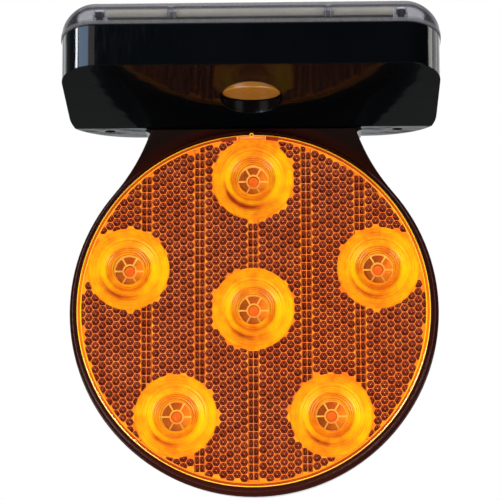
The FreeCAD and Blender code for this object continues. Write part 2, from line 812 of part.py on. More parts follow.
def cover_gasket():
    """The seal between the tray and the cover, set in a little from the outside."""
    outer = head_block("GasketOuter", "0.6", seam_line("-Dims.seam_gap"), seam_line("0"))
    inner = head_block("GasketInner", "Dims.wall - 0.5", None, None)
    return node(cut(outer, inner), "cover_gasket")


def tilted_plate(name, width, length, thickness, above):
    """A plate parallel to the seam, centred in the head, its top a given height above the seam."""
    body = new_body(name)
    sketch = new_sketch(body, "XY_Plane", "-({})".format(thickness))
    half_x, half_y = "({}) / 2".format(width), "({}) / 2".format(length)
    draw_rectangle(sketch, "-" + half_x, "-" + half_y, half_x, half_y)
    pad(body, sketch, thickness)
    middle = "-Dims.head_depth / 2"
    return place(body, 0, middle, seam_height(middle, above), Vector(1, 0, 0), "-" + TILT)


PANEL_TOP = "Dims.cover_height - Dims.cover_wall - Dims.panel_drop"
TILT = "atan((Dims.seam_front - Dims.seam_back) / Dims.head_depth)"


def solar_panel():
    """The stiff laminate that carries the solar cells."""
    size = ("Dims.panel_width", "Dims.panel_length", "Dims.panel_thickness")
    return node(tilted_plate("SolarPanel", *size, PANEL_TOP), "solar_panel")


def panel_frame():
    """The light plastic frame under the edge of the panel, on four legs that stand in the tray."""
    above = "{} - Dims.panel_thickness / cos({})".format(PANEL_TOP, TILT)
    body = tilted_plate("PanelFrame", "Dims.panel_width", "Dims.panel_length", "Dims.frame_height", above)
    sketch = new_sketch(body)
    half_x = "(Dims.panel_width / 2 - Dims.frame_band)"
    half_y = "(Dims.panel_length / 2 - Dims.frame_band)"
    draw_rectangle(sketch, "-" + half_x, "-" + half_y, half_x, half_y)
    pocket(body, sketch, "Dims.frame_height")
    legs = []
    middle = "{} - Dims.frame_height / 2".format(above)
    for x, y in pair("Dims.frame_leg_half", "-Dims.frame_leg_front"):
        foot = underside_height(y, "Dims.wall + 1")
        legs.append(post(x, y, foot, seam_height(y, middle), "Dims.frame_leg_radius"))
    for x, y in pair("Dims.frame_leg_half", "-Dims.frame_leg_back"):
        foot = FLOOR + " + Dims.wall"
        legs.append(post(x, y, foot, seam_height(y, middle), "Dims.frame_leg_radius"))
    return node(fuse(body, *legs), "panel_frame")


def solar_cells():
    """The strips of silicon on top of the panel, side by side."""
    middle = "-Dims.head_depth / 2"
    pitch = "((Dims.panel_width - 2 * Dims.strip_border) / Dims.strip_count)"
    size = {
        "Length": pitch + " - Dims.strip_gap",
        "Width": "Dims.panel_length - 2 * Dims.strip_border",
        "Height": "Dims.strip_thickness",
    }
    strips = []
    for index in range(int(value("Dims.strip_count"))):
        x = "-Dims.panel_width / 2 + Dims.strip_border + {} * {} + Dims.strip_gap / 2".format(index, pitch)
        strips.append(primitive("Box", x=x, y="-Dims.panel_length / 2 + Dims.strip_border", **size))
    group = compound(strips)
    place(group, 0, middle, seam_height(middle, PANEL_TOP), Vector(1, 0, 0), "-" + TILT)
    return node(group, "solar_cells")


# ---------------------------------------------------------------- mode button and its switch

def mode_button():
    """The amber push button: a round cap through the ceiling, a flange above it and a stem."""
    body = new_body("ModeButton")
    centre = [("0", BUTTON_Y)]
    height = FLANGE_LOW + " - Dims.button_face"
    raise_bosses(body, "XY_Plane", "Dims.button_face", centre, "Dims.button_radius", height)
    round_edges(body, "Dims.button_edge", lambda point: abs(point.z - value("Dims.button_face")) < 0.01)
    raise_bosses(body, "XY_Plane", FLANGE_LOW, centre, "Dims.flange_radius", "Dims.flange_height")
    raise_bosses(body, "XY_Plane", FLANGE_TOP, centre, "Dims.stem_radius", "Dims.stem_height")
    return node(body, "mode_button")


def button_seal():
    """The soft ring that the button's flange rests on."""
    body = new_body("ButtonSeal")
    sketch = new_sketch(body, "XY_Plane", CEILING_TOP)
    draw_circle(sketch, "Dims.flange_radius", 0, BUTTON_Y)
    draw_circle(sketch, "Dims.button_radius + Dims.seal_gap", 0, BUTTON_Y)
    pad(body, sketch, "Dims.seal_height")
    return node(body, "button_seal")


def switch_body():
    """The push switch under the control board, with the hole that its plunger slides in."""
    body = new_body("SwitchBody")
    half = "Dims.switch_width / 2"
    sketch = new_sketch(body, "XY_Plane", SWITCH_LOW)
    draw_rectangle(sketch, "-" + half, BUTTON_Y + " - " + half, half, BUTTON_Y + " + " + half)
    pad(body, sketch, "Dims.switch_height")
    hole = "Dims.plunger_radius + Dims.plunger_clearance"
    depth = "Dims.switch_height - Dims.plunger_roof"
    drill(body, "XY_Plane", SWITCH_LOW, [(0, BUTTON_Y)], hole, depth, reverse=True)
    return node(body, "switch_body")


def switch_plunger():
    """The plunger, resting on the button's stem, with room above it for its travel."""
    top = STEM_TOP + " + Dims.plunger_height + Dims.plunger_tail"
    return node(post("0", BUTTON_Y, STEM_TOP, top, "Dims.plunger_radius"), "switch_plunger")


def button_spring():
    """The return spring between the button's flange and the control board."""
    wire = value("Dims.spring_wire") / 2
    low = value(FLANGE_TOP) + wire
    height = value(SWITCH_TOP) - wire - low
    radius = value("Dims.spring_radius")
    helix = Part.makeHelix(height / value("Dims.spring_turns"), height, radius)
    start = helix.Edges[0].valueAt(helix.Edges[0].FirstParameter)
    tangent = helix.Edges[0].tangentAt(helix.Edges[0].FirstParameter)
    section = Part.Wire([Part.makeCircle(wire, start, tangent)])
    spring = doc.addObject("Part::Feature", "ButtonSpring")
    spring.Shape = Part.Wire(helix.Edges).makePipeShell([section], True, True)
    spring.Placement = FreeCAD.Placement(Vector(0, value(BUTTON_Y), low), FreeCAD.Rotation())
    return node(spring, "button_spring")


def control_board():
    """The board over the button, screwed to four posts."""
    body = new_body("ControlBoard")
    sketch = new_sketch(body, "XY_Plane", SWITCH_TOP)
    draw_rectangle(sketch, "-Dims.board_half", "-Dims.board_front", "Dims.board_half", "-Dims.board_back")
    pad(body, sketch, "Dims.board_thickness")
    drill(body, "XY_Plane", BOARD_TOP, BOARD_SCREWS, "Dims.screw_radius", "Dims.board_thickness")
    return node(body, "control_board")


def control_chip():
    """The flat controller chip on the board."""
    low = "Dims.chip_width / 2"
    chip = primitive(
        "Box",
        x="-" + low,
        y="-Dims.chip_depth - " + low,
        z=BOARD_TOP,
        Length="Dims.chip_width",
        Width="Dims.chip_width",
        Height="Dims.chip_height",
    )
    return node(chip, "control_chip")


def board_connector():
    """The connector that hangs under the rear edge of the board and takes all the leads."""
    block = primitive(
        "Box",
        x="-Dims.connector_width / 2",
        y="-Dims.board_back - 1 - Dims.connector_depth",
        z=SWITCH_TOP + " - Dims.connector_height",
        Length="Dims.connector_width",
        Width="Dims.connector_depth",
        Height="Dims.connector_height",
    )
    return node(block, "board_connector")


def board_capacitors():
    """Two upright capacitors near the front edge of the control board."""
    top = BOARD_TOP + " + Dims.capacitor_height"
    places = pair("Dims.capacitor_half", "-Dims.capacitor_depth")
    cans = [post(x, y, BOARD_TOP, top, "Dims.capacitor_radius") for x, y in places]
    return node(compound(cans), "board_capacitors")


# ---------------------------------------------------------------- lens, light board and reflector


def amber_lens():
    """The lens: a thick disc with a skirt that stands on the gasket inside the ring."""
    back = "Dims.flange_depth + Dims.lens_gasket_height"
    inner = "Dims.lens_radius - Dims.lens_wall"
    floor = "Dims.lens_depth - Dims.lens_wall"
    body = revolved(
        "AmberLens",
        [
            (back, inner),
            (back, "Dims.lens_radius"),
            ("Dims.lens_depth", "Dims.lens_radius"),
            ("Dims.lens_depth", "0"),
            (floor, "0"),
            (floor, inner),
        ],
    )
    front = lambda point: (
        abs(point.y + value("Dims.lens_depth")) < 0.01 and math.hypot(point.x, point.z) > 80
    )
    round_edges(body, "Dims.lens_edge", front)
    return node(body, "amber_lens")


def lens_gasket():
    low, high = "Dims.flange_depth", "Dims.flange_depth + Dims.lens_gasket_height"
    inner, outer = "Dims.lens_radius - Dims.lens_wall", "Dims.lens_radius - Dims.lens_clearance"
    corners = [(low, inner), (low, outer), (high, outer), (high, inner)]
    return node(revolved("LensGasket", corners), "lens_gasket")


def light_board():
    """The round board behind the reflector that carries the LEDs."""
    body = new_body("LightBoard")
    radius, thickness = "Dims.light_board_radius", "Dims.board_thickness"
    raise_bosses(body, "XZ_Plane", "Dims.light_board_depth", [(0, 0)], radius, thickness)
    drill(
        body,
        "XZ_Plane",
        "Dims.light_board_depth + Dims.board_thickness",
        POST_PLACES,
        FREE_HOLE,
        "Dims.board_thickness",
    )
    return node(body, "light_board")


def reflector_plate():
    """The white plate in front of the light board, on five spacer tubes of its own."""
    body = new_body("ReflectorPlate")
    front = "Dims.reflector_depth + Dims.reflector_thickness"
    radius, thickness = "Dims.reflector_radius", "Dims.reflector_thickness"
    raise_bosses(body, "XZ_Plane", "Dims.reflector_depth", [(0, 0)], radius, thickness)
    tube = "Dims.reflector_depth - Dims.light_board_depth - Dims.board_thickness"
    depth, radius = "Dims.reflector_depth", "Dims.post_radius"
    raise_bosses(body, "XZ_Plane", depth, POST_PLACES, radius, tube, reverse=True)
    through = "Dims.reflector_thickness + " + tube
    drill(body, "XZ_Plane", front, POST_PLACES, FREE_HOLE, through)
    drill(body, "XZ_Plane", front, LED_PLACES, "Dims.led_radius + Dims.led_gap", "Dims.reflector_thickness")
    return node(body, "reflector_plate")


def led(number, x, z):
    """One domed LED with its flange on the light board."""
    base = "-(Dims.light_board_depth + Dims.board_thickness)"
    barrel = "Dims.led_height - Dims.led_radius"
    flange = primitive("Cylinder", Radius="Dims.led_radius + Dims.led_rim", Height="Dims.led_flange")
    stem = primitive("Cylinder", Radius="Dims.led_radius", Height=barrel)
    dome = primitive("Sphere", z=barrel, Radius="Dims.led_radius")
    lamp = fuse(flange, stem, dome)
    place(lamp, x, base, z, Vector(1, 0, 0), 90)
    return node(lamp, "led_{}".format(number))


def led_holder(number, x, z):
    """A spoked ring in front of the reflector that centres one LED."""
    body = new_body("LedHolder")
    inner = "Dims.holder_radius - Dims.holder_wall"
    collar = "Dims.led_radius + Dims.led_gap / 2"
    ring = new_sketch(body)
    draw_circle(ring, "Dims.holder_radius")
    draw_circle(ring, inner)
    pad(body, ring, "Dims.holder_height")
    spoke = new_sketch(body)
    half = "Dims.spoke_width / 2"
    draw_rectangle(spoke, "{} + {}".format(collar, half), "-" + half, "{} + {}".format(inner, half), half)
    first = pad(body, spoke, "Dims.spoke_height")
    doc.recompute()
    pattern = body.newObject("PartDesign::PolarPattern", "Spokes")
    pattern.Originals = [first]
    pattern.Axis = (next(item for item in body.Origin.OriginFeatures if item.Role == "Z_Axis"), [""])
    pattern.Angle = 360
    pattern.Occurrences = int(value("Dims.spoke_count"))
    body.Tip = pattern
    doc.recompute()
    hub = new_sketch(body)
    draw_circle(hub, "{} + Dims.spoke_width".format(collar))
    draw_circle(hub, collar)
    pad(body, hub, "Dims.spoke_height")
    base = "-(Dims.reflector_depth + Dims.reflector_thickness)"
    place(body, x, base, z, Vector(1, 0, 0), 90)
    return node(body, "led_holder_{}".format(number))


# ---------------------------------------------------------------- fasteners


def mount_nut():
    """The flanged hexagonal nut for a half-inch bolt, flush with the back plane."""
    body = new_body("MountNut")
    sketch = new_sketch(body, "XZ_Plane")
    draw_polygon(sketch, ring_of_points("Dims.nut_across_flats / 2 / cos(30)", 0, 60, 6))
    pad(body, sketch, "Dims.nut_body")
    raise_bosses(body, "XZ_Plane", "Dims.nut_body", [(0, 0)], "Dims.nut_flange_radius", "Dims.nut_flange")
    length = "Dims.nut_body + Dims.nut_flange"
    drill(body, "XZ_Plane", length, [(0, 0)], "Dims.nut_bore_radius", length)
    return node(body, "mount_nut")


def nut_cap():
    """The cap that closes the front of the nut against water."""
    low, top = "Dims.nut_body", "Dims.light_board_depth - Dims.nut_cap_gap"
    roof = top + " - Dims.nut_cap_wall"
    wall = "Dims.nut_boss_radius - Dims.nut_cap_wall"
    return node(
        revolved(
            "NutCap",
            [
                (low, wall),
                (low, "Dims.nut_boss_radius"),
                (top, "Dims.nut_boss_radius"),
                (top, "0"),
                (roof, "0"),
                (roof, wall),
            ],
        ),
        "nut_cap",
    )


def screw(x, y, z, length, turn, radius="Dims.screw_radius", head="Dims.screw_head_radius"):
    """A pan-head screw with a cross recess. Its head rises from the given point, its shank goes down.
    `turn` is the angle about X that stands the head up in the wanted direction."""
    crown = primitive("Cylinder", Radius=head, Height="Dims.screw_head_height")
    height = "({}) + 0.5".format(length)
    shank = primitive("Cylinder", z="-({})".format(length), Radius=radius, Height=height)
    slots = []
    for across, along in (("0.35 * " + head, "1.3 * " + head), ("1.3 * " + head, "0.35 * " + head)):
        slots.append(
            primitive(
                "Box",
                x="-({}) / 2".format(across),
                y="-({}) / 2".format(along),
                z="Dims.screw_head_height - 1",
                Length=across,
                Width=along,
                Height="2",
            )
        )
    whole = cut(fuse(crown, shank), *slots)
    return place(whole, x, y, z, Vector(1, 0, 0), turn)


def fasteners():
    """All the screws. A turn of 90 faces the head to the front, -90 to the back, 180 downward."""
    front = "-(Dims.reflector_depth + Dims.reflector_thickness)"
    board_length = "Dims.board_screw_length - 0.5"
    screws = {
        "housing_screws": [
            screw(x, "-Dims.screw_seat_depth", z, "Dims.housing_screw_length", -90)
            for x, z in HOUSING_SCREWS
        ],
        "reflector_screws": [screw(x, front, z, "Dims.reflector_screw_length", 90) for x, z in POST_PLACES],
        "collar_screws": [
            screw(x, y, FLOOR + " + Dims.wall", "Dims.collar_screw_length", 0) for x, y in COLLAR_SCREWS
        ],
        "cover_screws": [
            screw(x, y, "Dims.cover_screw_seat", "Dims.cover_screw_length", 0, head="Dims.cover_screw_head")
            for x, y in FRONT_SCREWS
        ],
        "base_screws": [
            screw(x, y, "Dims.base_screw_seat", "Dims.base_screw_length", 180, head="Dims.base_screw_head")
            for x, y in BACK_SCREWS
        ],
        "board_screws": [
            screw(x, y, BOARD_TOP, board_length, 0, "Dims.board_screw_radius", "Dims.board_screw_head")
            for x, y in BOARD_SCREWS
        ],
    }
    for label, group in screws.items():
        node(compound(group), label)


def neck_gasket():
    """The flat seal between the neck and the head."""
    body = new_body("NeckGasket")
    sketch = new_sketch(body, "XY_Plane", "Dims.neck_top")
    half = "(Dims.neck_half - Dims.neck_gasket_inset)"
    front, back = "-Dims.parting_depth + 1", "-Dims.wall + 0.5"
    draw_rectangle(sketch, "-" + half, front, half, back)
    pad(body, sketch, "Dims.neck_gasket_height")
    drill(body, "XY_Plane", FLOOR, COLLAR_SCREWS, FREE_HOLE, "Dims.neck_gasket_height")
    drill(body, "XY_Plane", FLOOR, [WIRE_HOLE], "Dims.wire_hole_radius", "Dims.neck_gasket_height")
    return node(body, "neck_gasket")


# ---------------------------------------------------------------- batteries

SLOPE = "atan({})".format(FLOOR_RISE)


def on_slope(item, side):
    """Put a piece drawn about the tray's own origin into the left or right half of the head."""
    y = "-Dims.tray_centre_depth"
    z = underside_height(y, "Dims.wall + Dims.tray_lift")
    return place(item, "{} * Dims.tray_centre_x".format(side), y, z, Vector(1, 0, 0), "-({})".format(SLOPE))


def battery_tray(side, label):
    """An open tray for two cells, lying on the sloped floor of the head."""
    body = new_body("BatteryTray")
    sketch = new_sketch(body, "XY_Plane")
    half_x, half_y = "Dims.tray_half", "Dims.tray_depth / 2"
    draw_rectangle(sketch, "-" + half_x, "-" + half_y, half_x, half_y)
    pad(body, sketch, "Dims.tray_height")
    sketch = new_sketch(body, "XY_Plane", "Dims.tray_height")
    half_x = "(Dims.tray_half - Dims.tray_wall)"
    half_y = "(Dims.tray_depth / 2 - Dims.tray_side)"
    draw_rectangle(sketch, "-" + half_x, "-" + half_y, half_x, half_y)
    pocket(body, sketch, "Dims.tray_height - Dims.tray_wall")
    return node(on_slope(body, side), label)


def battery_cell(number, side, row):
    """One round cell, lying along X, with its button contact at one end."""
    can = primitive("Cylinder", Radius="Dims.cell_radius", Height="Dims.cell_length")
    radius, height = "Dims.cell_button_radius", "Dims.cell_button_length"
    tip = primitive("Cylinder", z="Dims.cell_length", Radius=radius, Height=height)
    cell = fuse(can, tip)
    x = "-(Dims.cell_length + Dims.cell_button_length) / 2"
    y = "{} * (Dims.cell_radius + Dims.cell_spacing)".format(row)
    place(cell, x, y, "Dims.tray_wall + Dims.cell_radius", Vector(0, 1, 0), 90)
    return node(on_slope(compound([cell]), side), "battery_cell_{}".format(number))


def battery_contacts():
    """The metal contact plates at both ends of each tray."""
    groups = []
    inner = "((Dims.cell_length + Dims.cell_button_length) / 2)"
    thickness = "(Dims.tray_half - Dims.tray_wall - {})".format(inner)
    for side in (1, -1):
        plates = []
        for x in (inner, "-{} - {}".format(inner, thickness)):
            plates.append(
                primitive(
                    "Box",
                    x=x,
                    y="-Dims.contact_width / 2",
                    z="Dims.tray_wall + 1",
                    Length=thickness,
                    Width="Dims.contact_width",
                    Height="Dims.contact_height",
                )
            )
        groups.append(on_slope(compound(plates), side))
    return node(compound(groups), "battery_contacts")


# ---------------------------------------------------------------- wiring


def lead(label, points):
    """An insulated wire: straight runs joined by arcs, each as wide as its two runs allow."""
    edges = []
    start = points[0]
    for before, corner, after in zip(points, points[1:], points[2:]):
        back, ahead = before - corner, after - corner
        half_turn = (math.pi - back.getAngle(ahead)) / 2
        trim = 0.45 * min(back.Length, ahead.Length)
        radius = trim / math.tan(half_turn)
        enter = corner + back.normalize() * trim
        leave = corner + ahead.normalize() * trim
        inward = (back + ahead).normalize()
        centre = corner + inward * math.hypot(radius, trim)
        edges.append(Part.LineSegment(start, enter).toShape())
        edges.append(Part.Arc(enter, centre - inward * radius, leave).toShape())
        start = leave
    edges.append(Part.LineSegment(start, points[-1]).toShape())
    path = Part.Wire(edges)
    direction = edges[0].tangentAt(edges[0].FirstParameter)
    section = Part.Wire([Part.makeCircle(value("Dims.lead_radius"), points[0], direction)])
    wire = doc.addObject("Part::Feature", "Lead")
    wire.Shape = path.makePipeShell([section], True, False)
    return node(wire, label)


def wiring():
    """Pairs of leads from the light board, the batteries and the panel to the board connector."""
    plug_y = value("-Dims.board_back - 1")
    plug_z = value(SWITCH_TOP + " - Dims.connector_height / 2")
    board_y = value("-Dims.light_board_depth + Dims.lead_radius")
    turn_y = value("-Dims.wiring_depth")
    hole_y = value(WIRE_HOLE[1])
    tray_x = value("Dims.tray_centre_x - Dims.tray_half")
    for name, side in (("red", -1), ("black", 1)):
        x = side * 1.2
        up_to_head = [(board_y, 62), (board_y, 76), (hole_y, 90), (hole_y - 1, 103), (-20, 113)]
        route = [Vector(x, y, z) for y, z in up_to_head]
        route += [Vector(x, turn_y, plug_z), Vector(x, plug_y, plug_z)]
        lead("light_lead_" + name, route)
    for name, side in (("red", -1), ("black", 1)):
        route = [(tray_x, -35.5, 107), (tray_x - 6, -35.5, 107), (18, -29, 112), (8, -27, 115)]
        points = [Vector(side * x, y, z) for x, y, z in route]
        points += [Vector(side * 3.6, turn_y, plug_z), Vector(side * 3.6, plug_y, plug_z)]
        lead("battery_lead_" + name, points)
    panel_y = -22
    drop = "Dims.panel_thickness / cos({0}) + Dims.lead_radius * tan({0})".format(TILT)
    underside = value(seam_height(panel_y, "{} - ({})".format(PANEL_TOP, drop)))
    for name, side in (("red", -1), ("black", 1)):
        route = [(9, panel_y, underside), (9, panel_y, 111), (7, -27, 109)]
        points = [Vector(side * x, y, z) for x, y, z in route]
        points += [Vector(side * 5.2, turn_y, plug_z), Vector(side * 5.2, plug_y, plug_z)]
        lead("solar_lead_" + name, points)


def main():
    fill_sheet()
    rear_housing()
    front_housing()
    head_base()
    solar_cover()
    cover_gasket()
    solar_panel()
    panel_frame()
    solar_cells()
    mode_button()
    button_seal()
    button_spring()
    switch_body()
    switch_plunger()
    control_board()
    control_chip()
    board_connector()
    board_capacitors()
    amber_lens()
    lens_gasket()
    light_board()
    reflector_plate()
    for number, (x, z) in enumerate(LED_PLACES, start=1):
        led(number, x, z)
        led_holder(number, x, z)
    mount_nut()
    nut_cap()
    fasteners()
    neck_gasket()
    battery_tray(-1, "battery_tray_left")
    battery_tray(1, "battery_tray_right")
    for number, (side, row) in enumerate(((-1, -1), (-1, 1), (1, -1), (1, 1)), start=1):
        battery_cell(number, side, row)
    battery_contacts()
    wiring()
    doc.recompute()
    export()


def export():
    """Check every object and every sub-part's shape, then write one STEP file per sub-part."""
    for item in doc.Objects:
        if "Invalid" in item.State or "Error" in item.State:
            raise RuntimeError("{} ({}) failed: {}".format(item.Name, item.Label, item.State))
    for item in nodes:
        if item.Shape.isNull() or not item.Shape.isValid() or item.Shape.Volume <= 0:
            raise RuntimeError("{} has no valid shape".format(item.Label))
    os.makedirs("parts", exist_ok=True)
    for item in nodes:
        item.Shape.exportStep("parts/{}.step".format(item.Label))
        box = item.Shape.BoundBox
        print(
            "{:20s} {:2d} solids {:10.1f} mm3  x {:.1f}..{:.1f} y {:.1f}..{:.1f} z {:.1f}..{:.1f}".format(
                item.Label, len(item.Shape.Solids), item.Shape.Volume,
                box.XMin, box.XMax, box.YMin, box.YMax, box.ZMin, box.ZMax,
            )
        )


main()
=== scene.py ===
import itertools
import math
import random

import bmesh
import bpy
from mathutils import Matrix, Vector, noise


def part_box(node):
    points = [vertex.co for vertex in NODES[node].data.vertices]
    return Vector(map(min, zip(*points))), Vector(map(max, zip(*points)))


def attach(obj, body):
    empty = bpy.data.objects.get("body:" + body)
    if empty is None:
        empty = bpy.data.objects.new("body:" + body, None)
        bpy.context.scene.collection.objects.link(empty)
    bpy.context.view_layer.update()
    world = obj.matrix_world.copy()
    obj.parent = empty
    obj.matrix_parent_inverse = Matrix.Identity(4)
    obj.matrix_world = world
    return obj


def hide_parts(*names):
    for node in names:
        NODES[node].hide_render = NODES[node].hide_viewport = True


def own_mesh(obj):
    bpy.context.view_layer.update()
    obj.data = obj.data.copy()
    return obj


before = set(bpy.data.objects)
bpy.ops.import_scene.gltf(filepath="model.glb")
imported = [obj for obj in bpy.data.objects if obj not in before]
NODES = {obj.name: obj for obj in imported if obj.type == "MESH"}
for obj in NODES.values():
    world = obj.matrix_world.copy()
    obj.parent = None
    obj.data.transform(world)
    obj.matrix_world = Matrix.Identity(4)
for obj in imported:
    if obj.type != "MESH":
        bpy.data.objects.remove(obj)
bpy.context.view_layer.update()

# The looks of a one-sided solar barricade light: a round amber lens with six LED windows in a field of
# small reflex cells, a glossy black housing, and a head that carries the solar panel under a clear cover.
# The lens faces -Y. Everything is in metres; MM turns the millimetres of a drawing into metres.

MM = 0.001
SEED = 7

# ---------------------------------------------------------------- places that come from the parts in model.glb

LENS_LOW, LENS_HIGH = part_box("amber_lens")
LENS_X = (LENS_LOW.x + LENS_HIGH.x) / 2
LENS_Z = (LENS_LOW.z + LENS_HIGH.z) / 2
LENS_RADIUS = (LENS_HIGH.x - LENS_LOW.x) / 2
LENS_FRONT = LENS_LOW.y
LENS_BACK = LENS_HIGH.y
LED_NAMES = sorted(name for name in NODES if name.startswith("led_") and "holder" not in name)
LED_PLACES = [(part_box(name)[0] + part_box(name)[1]) / 2 for name in LED_NAMES]

# ---------------------------------------------------------------- sizes of the lens

SKIN = 0.8 * MM
FIELD_LEVEL = LENS_FRONT + SKIN + 0.1 * MM
LENS_EDGE = 1.2 * MM
SKIRT = 1.6 * MM
FIELD_RADIUS = 85.9 * MM
CLEAR_RADIUS = 20.4 * MM
CELL_HEIGHT = 4.0 * MM
CELL_SPACING = 3.464 * MM
CELL_BORDER = 0.11 * MM
CELL_DEPTH = 1.2 * MM
DOT_RADIUS = 0.24 * MM
RIDGE_HALF = 0.1 * MM
STRIP_PITCH = 26.6 * MM
STRIP_HALF = 2.65 * MM
STRIP_COUNT = 5
STRIP_LINE = 0.26 * MM
STRIP_ROW_SHIFT = 0.27
BAND_COLUMNS = 8
EDGE_COLUMNS = 11
SMALLEST_CELL = 0.5
SMALLEST_RIM = 0.1
SHORTEST_EDGE = 0.35 * MM
FIELD_THICKNESS = 0.25 * MM

# Steps round each turned shape, and the angle above which an edge stays sharp.

WINDOW_STEPS = 120
WELL_STEPS = 72
HUB_STEPS = 64
RIM_STEPS = 288
GATE_STEPS = 32
SKIN_STEPS = 256
SHARP_ANGLE = math.radians(32)

# The key at the top of the flange, as angles about the lens axis in degrees, and the gate mark's place.

KEY_LAND = (85.9, 95.1)
KEY_LINE = (86.6, 94.2)
KEY_ENDS = (85.8, 95.2)
KEY_END_HALF = 0.09
KEY_RECESSES = ((81.5, 85.7), (95.3, 100.5))
GATE_X = LENS_X - 0.6 * MM
GATE_Z = LENS_Z + LENS_RADIUS - 0.5 * MM

# ---------------------------------------------------------------- sizes of the smaller details

FINGER_PITCH = 2.2 * MM
FINGER_SHARE = 0.08
RIBBON_HALF = 0.7 * MM
RIBBON_PLACES = (-35 * MM, 35 * MM)
RIBBON_BOTTOM = -0.15 * MM
RIBBON_TOP = 0.03 * MM
RIBBON_FRONT_GAP = 0.4 * MM
RIBBON_BACK_GAP = 0.8 * MM
COIL_WIRE = 0.4 * MM
COIL_TURNS = 4
COIL_FLAT_TURNS = 0.75
COIL_TURN_STEPS = 32
COIL_SIDES = 10
FROST_FULL = 0.8 * MM
FROST_END = 1.3 * MM
FROST_LEVEL = 0.9
THREAD_PITCH = 1.954 * MM
BORE_RADIUS = 5.7 * MM

# Bars behind the front wall of the cover, in millimetres: the edge of the panel tray, in lengths that leave
# room for the two ribs, and white bars of painted highlight along the edges of the ribs.

LIP_Y = (-80.4, -79.6)
LIP_Z = (137.2, 141.5)
LIP_SPANS = ((-69.5, -40.6), (-35.4, 35.4), (40.6, 69.5))
RIB_GLINT_Z = (133.6, 141.9)
RIB_GLINT_SPANS = ((-39.8, -38.9), (-37.0, -36.3), (36.3, 37.0), (38.9, 39.8))


# ---------------------------------------------------------------- materials

def srgb(red, green, blue):
    """A colour given as it looks on a screen, 0 to 255, in the linear values that shaders use."""
    shares = [value / 255 for value in (red, green, blue)]
    linear = [((share + 0.055) / 1.055) ** 2.4 if share > 0.04 else share / 12.92 for share in shares]
    return (*linear, 1)


class Look:
    """A material under construction: its node tree, with short ways to add and join nodes."""

    def __init__(self, name):
        self.material = bpy.data.materials.new(name)
        self.material.use_nodes = True
        self.tree = self.material.node_tree
        self.shader = self.tree.nodes["Principled BSDF"]
        self.output = self.tree.nodes["Material Output"]
        self.place = self.add("ShaderNodeTexCoord").outputs["Object"]

    def add(self, kind, values=None, **settings):
        node = self.tree.nodes.new(kind)
        for key, setting in settings.items():
            setattr(node, key, setting)
        for key, given in (values or {}).items():
            if isinstance(given, bpy.types.NodeSocket):
                self.tree.links.new(given, node.inputs[key])
            else:
                node.inputs[key].default_value = given
        return node

    def set(self, **values):
        for key, given in values.items():
            socket = self.shader.inputs[key.replace("_", " ")]
            if isinstance(given, bpy.types.NodeSocket):
                self.tree.links.new(given, socket)
            else:
                socket.default_value = given

    def noise(self, size, detail=3.0, place=None, roughness=0.55):
        """Noise whose blotches are about size across, as a value from 0 to 1."""
        values = {"Vector": place or self.place, "Scale": 1 / size, "Detail": detail, "Roughness": roughness}
        return self.add("ShaderNodeTexNoise", values).outputs["Fac"]

    def stretched(self, x, y, z):
        """The object's own coordinates, stretched along its axes."""
        return self.add("ShaderNodeMapping", {"Vector": self.place, "Scale": (x, y, z)}).outputs["Vector"]

    def position(self):
        """The X, Y and Z of the shaded point, as sockets by those names."""
        place = self.add("ShaderNodeNewGeometry").outputs["Position"]
        return self.add("ShaderNodeSeparateXYZ", {0: place}).outputs

    def ramp(self, value, low, high, start=0.0, end=1.0):
        """value from low..high mapped to start..end."""
        values = {"Value": value, "From Min": low, "From Max": high, "To Min": start, "To Max": end}
        return self.add("ShaderNodeMapRange", values).outputs["Result"]

    def mix(self, factor, first, second):
        """A mix of two colours."""
        node = self.add("ShaderNodeMix", data_type="RGBA", blend_type="MIX")
        for key, given in (("Factor", factor), ("A", first), ("B", second)):
            kind = "VALUE" if key == "Factor" else "RGBA"
            socket = next(s for s in node.inputs if s.name == key and s.type == kind)
            if isinstance(given, bpy.types.NodeSocket):
                self.tree.links.new(given, socket)
            else:
                socket.default_value = given
        return next(s for s in node.outputs if s.type == "RGBA")

    def math(self, operation, first, second=0.0):
        values = {0: first, 1: second}
        return self.add("ShaderNodeMath", values, operation=operation).outputs["Value"]

    def bump(self, height, relief, strength=1.0, normal=None):
        """A bump of the given relief in metres."""
        values = {"Height": height, "Distance": relief, "Strength": strength}
        if normal is not None:
            values["Normal"] = normal
        return self.add("ShaderNodeBump", values).outputs["Normal"]

    def attribute(self, name):
        return self.add("ShaderNodeAttribute", attribute_name=name)

    def surface(self, socket):
        self.tree.links.new(socket, self.output.inputs["Surface"])


def plastic(name, colour, other, roughness=(0.25, 0.4), patch=0.03, grain=0.0006, relief=0.00001, **more):
    """Moulded plastic: two close colours in soft patches, a fine grain, and a gloss that wanders."""
    look = Look(name)
    patches = look.noise(patch)
    look.set(Base_Color=look.mix(patches, colour, other))
    look.set(Roughness=look.ramp(look.noise(patch * 0.4), 0.3, 0.7, *roughness))
    look.set(Normal=look.bump(look.noise(grain, 2.0), relief))
    look.set(**more)
    return look.material


def metal(name, colour, other, roughness=(0.22, 0.42), grain=0.0004, along="z"):
    """Plated or drawn metal: fine lines along one axis, small stains, and a shine that follows the lines."""
    look = Look(name)
    stretch = {"x": (0.06, 1, 1), "z": (1, 1, 0.06)}[along]
    lines = look.noise(grain, 4.0, look.stretched(*stretch))
    stains = look.noise(0.004, 4.0)
    look.set(Base_Color=look.mix(look.ramp(stains, 0.35, 0.7), colour, other), Metallic=1.0)
    look.set(Roughness=look.ramp(lines, 0.3, 0.7, *roughness))
    look.set(Normal=look.bump(lines, 0.000004))
    return look.material


